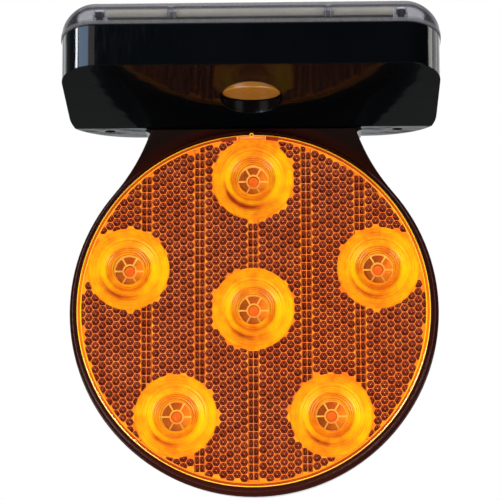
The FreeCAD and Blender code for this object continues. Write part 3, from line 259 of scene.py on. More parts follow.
def away_from_lens(look):
    """0 beside the lens, rising to 1 a few millimetres out from its edge."""
    place = look.add("ShaderNodeNewGeometry").outputs["Position"]
    from_lens = look.add("ShaderNodeVectorMath", {0: place, 1: (LENS_X, 0, LENS_Z)}, operation="SUBTRACT")
    flat = {0: from_lens.outputs[0], 1: (1, 0, 1)}
    across = look.add("ShaderNodeVectorMath", flat, operation="MULTIPLY")
    reach = look.add("ShaderNodeVectorMath", {0: across.outputs[0]}, operation="LENGTH").outputs["Value"]
    return look.ramp(reach, LENS_RADIUS + 4 * MM, LENS_RADIUS + 10 * MM)


def housing_plastic(name, colour, other, specular=0.2, warm=None):
    """Glossy near-black ABS with softened edges, faint sink waves and dust-fine scratches.
    Near the lens its light turns the plastic to the warm colour, where one is given."""
    look = Look(name)
    waves = look.noise(0.012, 1.0)
    grain = look.noise(0.0007, 2.0)
    scratches = look.noise(0.0012, 5.0, look.stretched(1, 1, 0.12))
    base = look.mix(look.noise(0.03), colour, other)
    if warm:
        base = look.mix(away_from_lens(look), warm, base)
    look.set(Base_Color=base)
    look.set(Roughness=look.ramp(scratches, 0.45, 0.75, 0.07, 0.16), Specular_IOR_Level=specular)
    soft = look.add("ShaderNodeBevel", {"Radius": 0.0007}, samples=4).outputs["Normal"]
    wavy = look.bump(waves, 0.00014, normal=soft)
    look.set(Normal=look.bump(grain, 0.0000012, normal=wavy))
    return look.material


def clear_plastic(name, tint, roughness, haze, haze_colour, edge=None, bend=None, frost=None):
    """Clear plastic that lets light through: tinted, glossy, with a trace of haze and fine scratches.
    `edge` is the colour it darkens to at a glancing view and where `bend` is 1. Where `frost` is 1 it is
    frosted. Only its outer faces shine, because the inner ones would mirror the room a second time."""
    look = Look(name)
    scratches = look.noise(0.0015, 5.0, look.stretched(1, 1, 0.15))
    normal = look.bump(look.noise(0.02, 1.0), 0.00002)
    rough = look.ramp(scratches, 0.4, 0.8, roughness, roughness * 3)
    murk = look.ramp(look.noise(0.01, 3.0), 0.3, 0.7, haze * 0.6, haze * 1.4)
    if edge:
        facing = look.add("ShaderNodeLayerWeight", {"Blend": 0.5}).outputs["Facing"]
        glance = look.ramp(facing, 0.68, 0.97)
        if bend:
            glance = look.math("MAXIMUM", glance, bend(look))
        tint = look.mix(glance, tint, edge)
        haze_colour = look.mix(glance, haze_colour, edge)
        murk = look.math("ADD", murk, look.math("MULTIPLY", glance, 0.45))
    if frost:
        frosted = frost(look)
        murk = look.math("MAXIMUM", murk, frosted)
        haze_colour = look.mix(frosted, haze_colour, srgb(84, 84, 86))
    see = look.add("ShaderNodeBsdfTransparent", {"Color": tint})
    dull = look.add("ShaderNodeBsdfDiffuse", {"Color": haze_colour})
    gloss = look.add("ShaderNodeBsdfGlossy", {"Roughness": rough, "Normal": normal})
    fresnel = look.add("ShaderNodeFresnel", {"IOR": 1.49, "Normal": normal}).outputs[0]
    front = look.math("SUBTRACT", 1.0, look.add("ShaderNodeNewGeometry").outputs["Backfacing"])
    shine = look.math("MULTIPLY", fresnel, front)
    body = look.add("ShaderNodeMixShader", {0: murk, 1: see.outputs[0], 2: dull.outputs[0]})
    whole = look.add("ShaderNodeMixShader", {0: shine, 1: body.outputs[0], 2: gloss.outputs[0]})
    look.surface(whole.outputs[0])
    return look.material


def amber_moulding(name, colours, roughness=0.3, patch=0.02, specular=0.4, glow=0.0, wander=0.06):
    """Amber plastic seen through the skin. "tone" on the mesh runs through the colours from first to last.
    `glow` stands for the light that the lens gathers behind it."""
    look = Look(name)
    tone = look.attribute("tone").outputs["Fac"]
    shift = look.ramp(look.noise(patch, 3.0), 0.3, 0.7, -wander, wander)
    scale = look.add("ShaderNodeValToRGB", {"Fac": look.math("ADD", tone, shift)})
    stops = scale.color_ramp.elements
    while len(stops) < len(colours):
        stops.new(0.5)
    for index, colour in enumerate(colours):
        stops[index].position = index / (len(colours) - 1)
        stops[index].color = colour
    look.set(Base_Color=scale.outputs["Color"], Roughness=roughness, Specular_IOR_Level=specular)
    look.set(Emission_Color=scale.outputs["Color"], Emission_Strength=glow)
    look.set(Normal=look.bump(look.noise(0.0008, 2.0), 0.00001))
    return look.material


# ---------------------------------------------------------------- mesh helpers

def new_piece(name, mesh, materials, body="housing", smooth=True):
    """An object for a finished bmesh, with its materials, riding on a body."""
    data = bpy.data.meshes.new(name)
    mesh.normal_update()
    mesh.to_mesh(data)
    mesh.free()
    if smooth:
        data.shade_smooth()
        data.set_sharp_from_angle(angle=SHARP_ANGLE)
    piece = bpy.data.objects.new(name, data)
    bpy.context.scene.collection.objects.link(piece)
    for material in materials:
        data.materials.append(material)
    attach(piece, body)
    return piece


def turn(mesh, centre, profile, steps, closed=False):
    """Turns a profile of (radius, y) pairs once about the line through centre (x, z) that runs along Y. A
    closed profile joins its last pair to its first."""
    angles = [math.tau * step / steps for step in range(steps)]
    rings = []
    for radius, y in profile:
        if radius == 0:
            rings.append([mesh.verts.new((centre[0], y, centre[1]))] * steps)
            continue
        rings.append([mesh.verts.new((centre[0] + radius * math.cos(a), y, centre[1] + radius * math.sin(a)))
                      for a in angles])
    pairs = list(zip(rings, rings[1:]))
    if closed:
        pairs.append((rings[-1], rings[0]))
    for near, far in pairs:
        for step in range(steps):
            after = (step + 1) % steps
            corners = []
            for vert in (near[step], near[after], far[after], far[step]):
                if vert not in corners:
                    corners.append(vert)
            if len(corners) > 2:
                mesh.faces.new(corners)


def arc(centre, radius, start, end, steps):
    """Points (r, y) on an arc, angles in degrees, for rounded edges of a profile."""
    angles = [math.radians(start + (end - start) * step / steps) for step in range(steps + 1)]
    return [(centre[0] + radius * math.cos(a), centre[1] + radius * math.sin(a)) for a in angles]


# ---------------------------------------------------------------- the reflex field of the lens

def clip(polygon, point, inward):
    """The part of a convex polygon on the inward side of the line through point."""
    kept = []
    for index, here in enumerate(polygon):
        after = polygon[(index + 1) % len(polygon)]
        side_here = (here[0] - point[0]) * inward[0] + (here[1] - point[1]) * inward[1]
        side_after = (after[0] - point[0]) * inward[0] + (after[1] - point[1]) * inward[1]
        if side_here >= 0:
            kept.append(here)
        if side_here * side_after < 0:
            share = side_here / (side_here - side_after)
            kept.append((here[0] + (after[0] - here[0]) * share, here[1] + (after[1] - here[1]) * share))
    return kept


def area(polygon):
    return 0.5 * sum(a[0] * b[1] - b[0] * a[1] for a, b in zip(polygon, polygon[1:] + polygon[:1]))


def without_short_edges(polygon):
    kept = []
    for point in polygon:
        if not kept or math.dist(point, kept[-1]) > SHORTEST_EDGE:
            kept.append(point)
    if len(kept) > 2 and math.dist(kept[0], kept[-1]) <= SHORTEST_EDGE:
        kept.pop()
    return kept


def inset(polygon, distance):
    """A convex polygon with its edges moved inward."""
    moved = []
    for index, here in enumerate(polygon):
        before = polygon[index - 1]
        after = polygon[(index + 1) % len(polygon)]
        normals = []
        for start, end in ((before, here), (here, after)):
            length = math.dist(start, end)
            normals.append(((start[1] - end[1]) / length, (end[0] - start[0]) / length))
        (ax, az), (bx, bz) = normals
        scale = distance / max(0.3, 1 + ax * bx + az * bz)
        moved.append((here[0] + (ax + bx) * scale, here[1] + (az + bz) * scale))
    return moved


def along(start, end, distance):
    share = min(0.3, distance / max(math.dist(start, end), 1e-9))
    return (start[0] + (end[0] - start[0]) * share, start[1] + (end[1] - start[1]) * share)


def hexagon(x, z):
    """A flat-topped hexagon."""
    radius = CELL_HEIGHT / math.sqrt(3)
    angles = [math.tau * corner / 6 for corner in range(6)]
    return [(x + radius * math.cos(angle), z + radius * math.sin(angle)) for angle in angles]


def rectangle(low_x, high_x, low_z, high_z):
    return [(low_x, low_z), (high_x, low_z), (high_x, high_z), (low_x, high_z)]


def hexagon_tiles():
    """Hexagons in the bands between the strips, cut where a strip begins."""
    centres = [(index - (STRIP_COUNT - 1) / 2) * STRIP_PITCH for index in range(STRIP_COUNT)]
    edges = [-FIELD_RADIUS - STRIP_HALF] + centres + [FIELD_RADIUS + STRIP_HALF]
    rows = int(FIELD_RADIUS / CELL_HEIGHT) + 2
    for left, right in zip(edges, edges[1:]):
        low, high = left + STRIP_HALF, right - STRIP_HALF
        if left == edges[0]:
            first = high - (STRIP_PITCH / 2 - STRIP_HALF) + 2.5 * CELL_SPACING
            columns = [first - (k - 1) * CELL_SPACING for k in range(EDGE_COLUMNS)]
        elif right == edges[-1]:
            first = low + (STRIP_PITCH / 2 - STRIP_HALF) - 2.5 * CELL_SPACING
            columns = [first + (k - 1) * CELL_SPACING for k in range(EDGE_COLUMNS)]
        else:
            middle = (left + right) / 2
            columns = [middle + (k - (BAND_COLUMNS - 1) / 2) * CELL_SPACING for k in range(BAND_COLUMNS)]
        for number, x in enumerate(columns):
            for row in range(-rows, rows):
                z = (row + 0.5 * (number % 2)) * CELL_HEIGHT
                tile = clip(clip(hexagon(x, z), (low, 0), (1, 0)), (high, 0), (-1, 0))
                if len(tile) > 2:
                    yield (x, z), tile, True


def strip_tiles():
    """The five upright strips, each two columns of rectangles between bright lines."""
    rows = int(FIELD_RADIUS / CELL_HEIGHT) + 2
    half = CELL_HEIGHT / 2
    for index in range(STRIP_COUNT):
        middle = (index - (STRIP_COUNT - 1) / 2) * STRIP_PITCH
        for side in (-1, 1):
            low, line, high = sorted(middle + side * x for x in (0, STRIP_HALF - STRIP_LINE, STRIP_HALF))
            inner, outer = ((low, line), (line, high)) if side > 0 else ((line, high), (low, line))
            for row in range(-rows, rows):
                z = (row + STRIP_ROW_SHIFT) * CELL_HEIGHT
                yield (sum(inner) / 2, z), rectangle(*inner, z - half, z + half), True
                yield (sum(outer) / 2, z), rectangle(*outer, z - half, z + half), False


def cut_by_circles(centre, tile):
    """A tile without what lies in the round windows or past the edge of the field."""
    circles = [(0.0, 0.0, FIELD_RADIUS, -1)]
    circles += [(place.x - LENS_X, place.z - LENS_Z, CLEAR_RADIUS, 1) for place in LED_PLACES]
    for x, z, radius, side in circles:
        out = Vector((centre[0] - x, centre[1] - z))
        if out.length > radius + CELL_HEIGHT and side == 1:
            continue
        out = out.normalized() if out.length > 0 else Vector((1, 0))
        edge = (x + out.x * radius, z + out.y * radius)
        tile = clip(tile, edge, (out.x * side, out.y * side))
        if len(tile) < 3:
            return []
    return tile


def holds_dot(polygon, centre):
    """Whether a dot about centre lies inside every edge of a convex polygon."""
    for a, b in zip(polygon, polygon[1:] + polygon[:1]):
        twice_area = (b[0] - a[0]) * (centre[1] - a[1]) - (b[1] - a[1]) * (centre[0] - a[0])
        if twice_area <= DOT_RADIUS * math.dist(a, b):
            return False
    return True


BORDER, FACET, RIDGE, DOT, PLAIN = range(5)


def add_cell(mesh, tone, tile, centre, full, chance, hollow):
    """One cell: a bright border, then facets that fall to a small flat dot, with a thin ridge at each corner.
    A cell that is not hollow is a plain bright land."""

    def vert(point, depth=0.0):
        return mesh.verts.new((LENS_X + point[0], FIELD_LEVEL + depth, LENS_Z + point[1]))

    def face(verts, material, value):
        made = mesh.faces.new(verts)
        made.material_index = material
        made[tone] = value

    outer = [vert(point) for point in tile]
    shade = chance.random()
    if not hollow:
        face(outer, BORDER, 0.8 + 0.2 * shade)
        return
    if area(tile) < SMALLEST_CELL * full:
        face(outer, PLAIN, shade)
        return
    rim = inset(tile, CELL_BORDER)
    if area(rim) < SMALLEST_RIM * full:
        face(outer, PLAIN, shade)
        return
    count = len(rim)
    middle = centre
    if not holds_dot(rim, centre):
        middle = (sum(p[0] for p in rim) / count, sum(p[1] for p in rim) / count)
    ring = []
    for index, here in enumerate(rim):
        ring.append(along(here, rim[index - 1], RIDGE_HALF))
        ring.append(along(here, rim[(index + 1) % count], RIDGE_HALF))
    lip = [vert(point) for point in ring]
    for index in range(count):
        after = (index + 1) % count
        face([outer[index], outer[after], lip[2 * after], lip[2 * index + 1]], BORDER, shade)
        face([outer[index], lip[2 * index + 1], lip[2 * index]], BORDER, shade)
    dot = []
    for point in ring:
        out = Vector((point[0] - middle[0], point[1] - middle[1]))
        out = out.normalized() * min(DOT_RADIUS, out.length * 0.4)
        dot.append(vert((middle[0] + out.x, middle[1] + out.y), CELL_DEPTH))
    for index in range(2 * count):
        after = (index + 1) % (2 * count)
        kind = RIDGE if index % 2 == 0 else FACET
        value = 0.55 * shade + 0.45 * ((index // 2) % 3) / 2
        face([lip[index], lip[after], dot[after], dot[index]], kind, value)
    face(dot, DOT, shade)


def reflex_field():
    """The field of reflex cells, with its strips, around the six windows."""
    mesh = bmesh.new()
    tone = mesh.faces.layers.float.new("tone")
    chance = random.Random(SEED)
    for tiles, full in ((hexagon_tiles(), CELL_HEIGHT ** 2 * math.sqrt(3) / 2),
                        (strip_tiles(), CELL_HEIGHT * STRIP_HALF)):
        for centre, tile, hollow in tiles:
            if math.hypot(*centre) > FIELD_RADIUS + CELL_HEIGHT:
                continue
            tile = without_short_edges(cut_by_circles(centre, tile))
            if len(tile) > 2:
                add_cell(mesh, tone, tile, centre, full, chance, hollow)
    looks = [
        amber_moulding("amber_border", [srgb(240, 106, 46), srgb(255, 160, 84)]),
        amber_moulding("amber_facet", [srgb(60, 4, 10), srgb(104, 16, 18)], 0.35, specular=0.12),
        amber_moulding("amber_ridge", [srgb(132, 38, 30), srgb(244, 118, 84)]),
        amber_moulding("amber_dot", [srgb(216, 116, 92), srgb(255, 196, 164)]),
        amber_moulding("amber_plain", [srgb(236, 112, 32), srgb(250, 160, 34)]),
    ]
    piece = new_piece("lens_reflex_field", mesh, looks, smooth=False)
    shell = piece.modifiers.new("shell", "SOLIDIFY")
    shell.thickness = FIELD_THICKNESS
    shell.offset = -1


# ---------------------------------------------------------------- windows, rim and skin of the lens

def window_profile():
    """(radius, depth) in millimetres of one window outside its hub: a raised hub ring, fine saw-toothed rings
    and a deep step before the flat outer bands."""
    profile = [(7.5, 2.6), (7.65, 0.1), (8.35, 0.0), (8.55, 0.7), (9.6, 0.3), (9.8, 0.75)]
    profile += [(10.6, 0.3), (10.75, 0.8), (11.4, 0.35), (11.5, 0.7)]
    radius, pitch = 11.5, 0.95
    while radius + pitch < 14.4:
        profile += [(radius + 0.88 * pitch, 0.35), (radius + pitch, 0.6)]
        radius += pitch
    profile += [(14.4, 0.5), (14.9, 0.62), (15.3, 0.5), (15.7, 0.3)]
    profile += [(16.6, 0.28), (16.75, 0.42), (16.9, 0.24)]
    profile += [(17.9, 0.24), (18.05, 0.4), (18.2, 0.2), (19.5, 0.14), (20.25, 0.22), (20.7, 0.22)]
    return [(radius * MM, depth * MM) for radius, depth in profile]


def bell(value, middle, width):
    return math.exp(-((value - middle) / width) ** 2)


def window_tone(x, z, shadow):
    """How bright the window is at x, z from its centre, with painted light and shade: painted light makes it
    yellow at both sides and brighter to the right in the outer band, orange above and below; thin turned
    lines; a painted glint beside the hub; and a red-brown arc of painted shadow low on the left, as deep as
    shadow says."""
    radius = math.hypot(x, z) / MM
    angle = math.atan2(z, x)
    sideways = abs(math.cos(angle))
    right = 0.5 + 0.5 * math.cos(angle)
    # Painted light: yellow at both sides.
    yellow = bell(radius, 13.2, 2.4) * (0.05 + 0.38 * sideways ** 2.5)
    line = 0.14 * bell(radius, 10.6, 0.22) + 0.1 * bell(radius, 9.6, 0.2)
    # Painted highlight: a glint beside the hub, strongest on the right.
    glint = 0.3 * bell(radius, 8.9, 0.3) * right ** 2 + 0.14 * bell(radius, 12.1, 0.2) * right
    low = 0.5 - 0.5 * math.sin(angle + 0.6)
    left = 0.5 - 0.5 * math.cos(angle - 0.85)
    # Painted shadow: a red-brown arc low on the left.
    dark = shadow * bell(radius, 14.3, 1.0) * low ** 4 * (0.14 + 0.75 * left ** 3)
    # Painted light: the outer band brighter at the sides and on the right.
    outer = (0.12 * sideways + 0.16 * right ** 6) * bell(radius, 18.3, 2.0)
    return min(1.0, max(0.0, 0.43 + yellow + outer + glint - line - dark))


def window_rings(number, place, look):
    """The rings of one LED window, with a plain back."""
    mesh = bmesh.new()
    profile = [(radius, FIELD_LEVEL + depth) for radius, depth in window_profile()]
    profile += [(profile[-1][0], FIELD_LEVEL + 1.9 * MM), (profile[0][0], FIELD_LEVEL + 2.9 * MM)]
    turn(mesh, (place.x, place.z), profile, WINDOW_STEPS, closed=True)
    bmesh.ops.recalc_face_normals(mesh, faces=mesh.faces)
    tone = mesh.verts.layers.float.new("tone")
    shadow = 1.0 if place.z == max(other.z for other in LED_PLACES) else 0.5
    for vert in mesh.verts:
        vert[tone] = window_tone(vert.co.x - place.x, vert.co.z - place.z, shadow)
    new_piece("lens_window_{}".format(number), mesh, [look])


def hub_well(number, place, look):
    """A disc behind the spokes of one LED holder that carries painted light: painted shade makes it dark red
    on the left, painted light orange on the right.
    """
    mesh = bmesh.new()
    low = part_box("reflector_plate")[0].y
    profile = [(2.9, -0.7), (7.2, -0.7), (7.2, -0.3), (2.9, -0.3)]
    turn(mesh, (place.x, place.z), [(r * MM, low + y * MM) for r, y in profile], WELL_STEPS, closed=True)
    bmesh.ops.recalc_face_normals(mesh, faces=mesh.faces)
    tone = mesh.verts.layers.float.new("tone")
    for vert in mesh.verts:
        x, z = vert.co.x - place.x, vert.co.z - place.z
        # Painted shade on the left, painted light on the right.
        vert[tone] = 0.5 + 0.5 * math.cos(math.atan2(z, x) + 0.35)
    new_piece("hub_well_{}".format(number), mesh, [look])


def hub_cap(number, place, look):
    """The clear cap over one LED: a shallow double-faced dome with a fine raised ring."""
    mesh = bmesh.new()
    level = LENS_FRONT + SKIN + 0.15 * MM
    front = [(0, 0.0), (1.4, 0.03), (2.2, 0.1), (2.35, 0.3), (2.6, 0.3), (2.75, 0.14)]
    front += [(4.4, 0.4), (6, 0.7), (7.4, 0.95)]
    back = [(7.4, 1.6), (5.5, 1.35), (3.5, 1.2), (1.8, 1.1), (0, 1.05)]
    profile = [(radius * MM, level + depth * MM) for radius, depth in front + back]
    turn(mesh, (place.x, place.z), profile, HUB_STEPS)
    bmesh.ops.recalc_face_normals(mesh, faces=mesh.faces)
    new_piece("lens_hub_{}".format(number), mesh, [look])


def lens_rim(look):
    """The plain flange around the field, with turned lines: a red groove, a yellow land, a red groove
    and a bright outer bead."""
    mesh = bmesh.new()
    level = LENS_FRONT + SKIN + 0.02 * MM
    inner, outer = FIELD_RADIUS - 0.1 * MM, LENS_RADIUS - 0.15 * MM
    shape = [(0.0, 0.8, 0.3), (0.05, 0.2, 0.4), (0.12, 0.1, 0.65), (0.26, 0.05, 0.72), (0.3, 0.3, 0.3),
             (0.36, 0.45, 0.08), (0.5, 0.45, 0.16), (0.54, 0.3, 0.42), (0.58, 0.45, 0.12), (0.7, 0.45, 0.05),
             (0.76, 0.2, 0.4), (0.8, 0.05, 0.85), (0.93, 0.2, 0.9), (1.0, 0.7, 0.5)]
    width = outer - inner
    profile = [(inner + width * share, level + depth * MM) for share, depth, _ in shape]
    profile += [(outer, level + 1.5 * MM), (inner, level + 1.5 * MM)]
    turn(mesh, (LENS_X, LENS_Z), profile, RIM_STEPS, closed=True)
    bmesh.ops.recalc_face_normals(mesh, faces=mesh.faces)
    tone = mesh.verts.layers.float.new("tone")
    for vert in mesh.verts:
        x, z = vert.co.x - LENS_X, vert.co.z - LENS_Z
        share = (math.hypot(x, z) - inner) / width
        nearest = min(shape, key=lambda step: abs(step[0] - share))
        # Painted light: the rim is brighter toward its left and right sides.
        sideways = abs(x) / LENS_RADIUS
        vert[tone] = min(1.0, 0.08 + 0.92 * nearest[2] + 0.3 * sideways ** 4)
    new_piece("lens_rim", mesh, [look])


def band_segment(mesh, start, end, inner, outer, front, back, steps=16):
    """A closed piece of a ring about the lens axis, between two angles in degrees."""
    rings = []
    for step in range(steps + 1):
        angle = math.radians(start + (end - start) * step / steps)
        across, up = math.cos(angle), math.sin(angle)
        rings.append([mesh.verts.new((LENS_X + radius * across, y, LENS_Z + radius * up))
                      for radius, y in ((inner, front), (outer, front), (outer, back), (inner, back))])
    for near, far in zip(rings, rings[1:]):
        for k in range(4):
            mesh.faces.new([near[k], near[(k + 1) % 4], far[(k + 1) % 4], far[k]])
    mesh.faces.new(rings[0])
    mesh.faces.new(rings[-1])


def lens_key(bright_look, dark_look):
    """The key at the top of the flange: an orange land with one raised line, between two sunken red ones."""
    inner, outer = FIELD_RADIUS - 0.2 * MM, LENS_RADIUS - 0.75 * MM
    level = LENS_FRONT + SKIN
    middle, half = (inner + outer) / 2, 0.14 * MM
    proud, under = level + 0.004 * MM, level + 0.3 * MM
    bright = bmesh.new()
    band_segment(bright, *KEY_LAND, inner, outer, level + 0.012 * MM, level + 1.4 * MM)
    line = bmesh.new()
    band_segment(line, *KEY_LINE, middle - half, middle + half, proud, under)
    for angle in KEY_ENDS:
        band_segment(line, angle - KEY_END_HALF, angle + KEY_END_HALF, inner, outer, proud, under, 1)
    dark = bmesh.new()
    for start, end in KEY_RECESSES:
        band_segment(dark, start, end, inner, outer, level + 0.014 * MM, level + 1.4 * MM)
    pieces = (("lens_key_land", bright, bright_look, 0.15), ("lens_key_line", line, bright_look, 0.95),
              ("lens_key_recess", dark, dark_look, 0.5))
    for name, mesh, look, level_tone in pieces:
        bmesh.ops.recalc_face_normals(mesh, faces=mesh.faces)
        tone = mesh.verts.layers.float.new("tone")
        for vert in mesh.verts:
            vert[tone] = level_tone
        new_piece(name, mesh, [look], smooth=False)


def gate_mark(look):
    """The small ring left by the moulding gate on the top edge of the lens."""
    mesh = bmesh.new()
    front = LENS_FRONT + 0.02 * MM
    profile = [(0.5, 0.5), (0.5, 0.05), (0.62, 0.0), (0.95, 0.0), (1.1, 0.08), (1.1, 1.6), (0, 1.6), (0, 0.5)]
    profile = [(radius * MM, front + depth * MM) for radius, depth in profile]
    turn(mesh, (GATE_X, GATE_Z), profile, GATE_STEPS)
    bmesh.ops.recalc_face_normals(mesh, faces=mesh.faces)
    tone = mesh.verts.layers.float.new("tone")
    for vert in mesh.verts:
        reach = math.hypot(vert.co.x - GATE_X, vert.co.z - GATE_Z)
        vert[tone] = 0.7 if reach > 0.55 * MM else 0.0
    new_piece("lens_gate_mark", mesh, [look])


def lens_skin(look):
    """The smooth clear front of the lens with its rounded edge and skirt."""
    mesh = bmesh.new()
    inner = LENS_RADIUS - SKIRT
    edge = arc((LENS_RADIUS - LENS_EDGE, LENS_FRONT + LENS_EDGE), LENS_EDGE, -90, 0, 6)
    profile = [(0, LENS_FRONT)] + edge + [(LENS_RADIUS, LENS_BACK), (inner, LENS_BACK)]
    profile += [(inner, LENS_FRONT + SKIN), (0, LENS_FRONT + SKIN)]
    turn(mesh, (LENS_X, LENS_Z), profile, SKIN_STEPS)
    bmesh.ops.recalc_face_normals(mesh, faces=mesh.faces)
    piece = new_piece("lens_skin", mesh, [look])
    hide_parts("amber_lens")


def build_lens():
    reflex_field()
    bright = srgb(238, 206, 12)
    window_colours = [srgb(134, 46, 18), srgb(212, 112, 26), srgb(228, 176, 18), bright]
    rim_colours = [srgb(96, 22, 16), srgb(184, 68, 30), srgb(244, 146, 36), bright]
    well_colours = [srgb(92, 20, 22), srgb(170, 66, 44), srgb(255, 172, 76)]
    window_look = amber_moulding("amber_window", window_colours, 0.25, 0.005, 0.2, wander=0.1)
    rim_look = amber_moulding("amber_rim", rim_colours, 0.25)
    key_look = amber_moulding("amber_key", [srgb(200, 92, 40), srgb(255, 180, 100)], 0.25)
    recess_look = amber_moulding("amber_key_recess", [srgb(116, 30, 24), srgb(140, 44, 30)], 0.3)
    # The hub wells also glow with painted light through glow.
    well_look = amber_moulding("amber_well", well_colours, 0.35, 0.003, glow=0.13)
    hub_look = clear_plastic("amber_hub", (1.0, 0.95, 0.72, 1), 0.04, 0.14, srgb(240, 130, 56))
    skin_look = clear_plastic("amber_skin", (1.0, 0.965, 0.84, 1), 0.03, 0.006, srgb(255, 150, 30))
    for number, place in enumerate(LED_PLACES, 1):
        window_rings(number, place, window_look)
        hub_cap(number, place, hub_look)
        hub_well(number, place, well_look)
    lens_rim(rim_look)
    lens_key(key_look, recess_look)
    gate_mark(rim_look)
    lens_skin(skin_look)


# ---------------------------------------------------------------- looks of the CAD nodes

def seam_rise():
    """How much the seam of the tilted cover climbs in Z for each step in Y."""
    low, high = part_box("cover_gasket")
    return (high.z - low.z) / (high.y - low.y)


def silicon():
    """Dark blue cells with fine silver fingers across them."""
    look = Look("silicon_cells")
    share = look.math("FRACT", look.math("MULTIPLY", look.position()["X"], 1 / FINGER_PITCH))
    finger = look.math("LESS_THAN", share, FINGER_SHARE)
    grains = look.mix(look.noise(0.004, 2.0), srgb(18, 24, 48), srgb(34, 44, 82))
    look.set(Base_Color=look.mix(finger, grains, srgb(150, 154, 160)))
    look.set(Roughness=look.ramp(finger, 0, 1, 0.14, 0.4))
    look.set(Normal=look.bump(look.noise(0.0012, 2.0), 0.000008))
    return look.material


def threaded_zinc():
    """Dull zinc plate, with a turned thread inside the bore about the origin."""
    look = Look("zinc_plate")
    place = look.position()
    angle = look.math("MULTIPLY", look.math("ARCTAN2", place["Z"], place["X"]), 1 / math.tau)
    along_bore = look.math("MULTIPLY", place["Y"], 1 / THREAD_PITCH)
    thread = look.math("PINGPONG", look.math("ADD", along_bore, angle), 0.5)
    squares = [look.math("MULTIPLY", place[axis], place[axis]) for axis in "XZ"]
    inside = look.math("LESS_THAN", look.math("ADD", *squares), BORE_RADIUS ** 2)
    turned = look.bump(look.math("MULTIPLY", thread, inside), 0.0012)
    stains = look.noise(0.003, 4.0)
    look.set(Base_Color=look.mix(stains, srgb(196, 196, 188), srgb(146, 146, 142)), Metallic=1.0)
    look.set(Roughness=look.ramp(look.noise(0.0008, 4.0), 0.3, 0.7, 0.25, 0.5))
    look.set(Normal=look.bump(stains, 0.00001, normal=turned))
    return look.material


def solar_ribbons(look):
    """Two flat silver ribbons that run down the panel over all its cells."""
    low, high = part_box("solar_cells")
    rise = seam_rise()
    slope = Vector((0, 1, -rise)).normalized()
    lift = Vector((0, rise, 1)).normalized()
    start = Vector((0, low.y + RIBBON_FRONT_GAP, high.z))
    length = (high.y - low.y - RIBBON_FRONT_GAP - RIBBON_BACK_GAP) * math.sqrt(1 + rise ** 2)
    mesh = bmesh.new()
    for x in RIBBON_PLACES:
        corners = []
        for up in (RIBBON_BOTTOM, RIBBON_TOP):
            for run in (0, length):
                for side in (-RIBBON_HALF, RIBBON_HALF):
                    corners.append(mesh.verts.new(start + Vector((x + side, 0, 0)) + slope * run + lift * up))
        for face in ((0, 2, 3, 1), (4, 5, 7, 6), (0, 1, 5, 4), (2, 6, 7, 3), (0, 4, 6, 2), (1, 3, 7, 5)):
            mesh.faces.new([corners[k] for k in face])
    bmesh.ops.recalc_face_normals(mesh, faces=mesh.faces)
    new_piece("solar_ribbons", mesh, [look], smooth=False)


def button_coil(look):
    """The return spring of the push button as a wound coil with its ends laid flat."""
    low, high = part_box("button_spring")
    middle = (low + high) / 2
    radius = (high.x - low.x) / 2 - COIL_WIRE
    mesh = bmesh.new()
    steps = COIL_TURN_STEPS * COIL_TURNS
    rings = []
    for step in range(steps + 1):
        share = step / steps
        risen = (share * COIL_TURNS - COIL_FLAT_TURNS) / (COIL_TURNS - 2 * COIL_FLAT_TURNS)
        climb = min(1.0, max(0.0, risen))
        angle = math.tau * share * COIL_TURNS
        z = low.z + COIL_WIRE + climb * (high.z - low.z - 2 * COIL_WIRE)
        ring = []
        for side in range(COIL_SIDES):
            turned = math.tau * side / COIL_SIDES
            reach = radius + COIL_WIRE * math.cos(turned)
            x, y = middle.x + reach * math.cos(angle), middle.y + reach * math.sin(angle)
            ring.append(mesh.verts.new((x, y, z + 0.98 * COIL_WIRE * math.sin(turned))))
        rings.append(ring)
    for near, far in zip(rings, rings[1:]):
        for side in range(COIL_SIDES):
            after = (side + 1) % COIL_SIDES
            mesh.faces.new([near[side], near[after], far[after], far[side]])
    mesh.faces.new(rings[0])
    mesh.faces.new(rings[-1])
    bmesh.ops.recalc_face_normals(mesh, faces=mesh.faces)
    coil = new_piece("button_coil", mesh, [look])
    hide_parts("button_spring")
    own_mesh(coil)


def front_bars(name, spans, heights, look):
    """Upright flat bars just behind the front wall of the cover, between the given x of each span."""
    mesh = bmesh.new()
    for span in spans:
        corners = [mesh.verts.new(Vector(place) * MM) for place in itertools.product(span, LIP_Y, heights)]
        for face in ((0, 1, 3, 2), (4, 6, 7, 5), (0, 4, 5, 1), (2, 3, 7, 6), (0, 2, 6, 4), (1, 5, 7, 3)):
            mesh.faces.new([corners[k] for k in face])
    bmesh.ops.recalc_face_normals(mesh, faces=mesh.faces)
    new_piece(name, mesh, [look], smooth=False)


def rounded_edge(look):
    """1 on the rounded top edge of the cover, where the plastic bends the light away, 0 on its flat faces."""
    upward = look.add("ShaderNodeSeparateXYZ", {0: look.add("ShaderNodeNewGeometry").outputs["True Normal"]})
    rising = look.ramp(look.math("ABSOLUTE", upward.outputs["Z"]), 0.12, 0.5)
    flat = look.ramp(look.math("ABSOLUTE", upward.outputs["Z"]), 0.94, 0.956, 1.0, 0.0)
    return look.math("MULTIPLY", look.math("MULTIPLY", rising, flat), 0.76)


def seam_frost(look):
    """A frosted band on the cover just above its seam, whose line is that of the gasket's front edge."""
    low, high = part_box("cover_gasket")
    rise = seam_rise()
    place = look.position()
    tilted = look.math("ADD", place["Z"], look.math("MULTIPLY", place["Y"], rise))
    seam = high.z + low.y * rise
    return look.ramp(look.math("SUBTRACT", tilted, seam), FROST_FULL, FROST_END, FROST_LEVEL, 0.0)


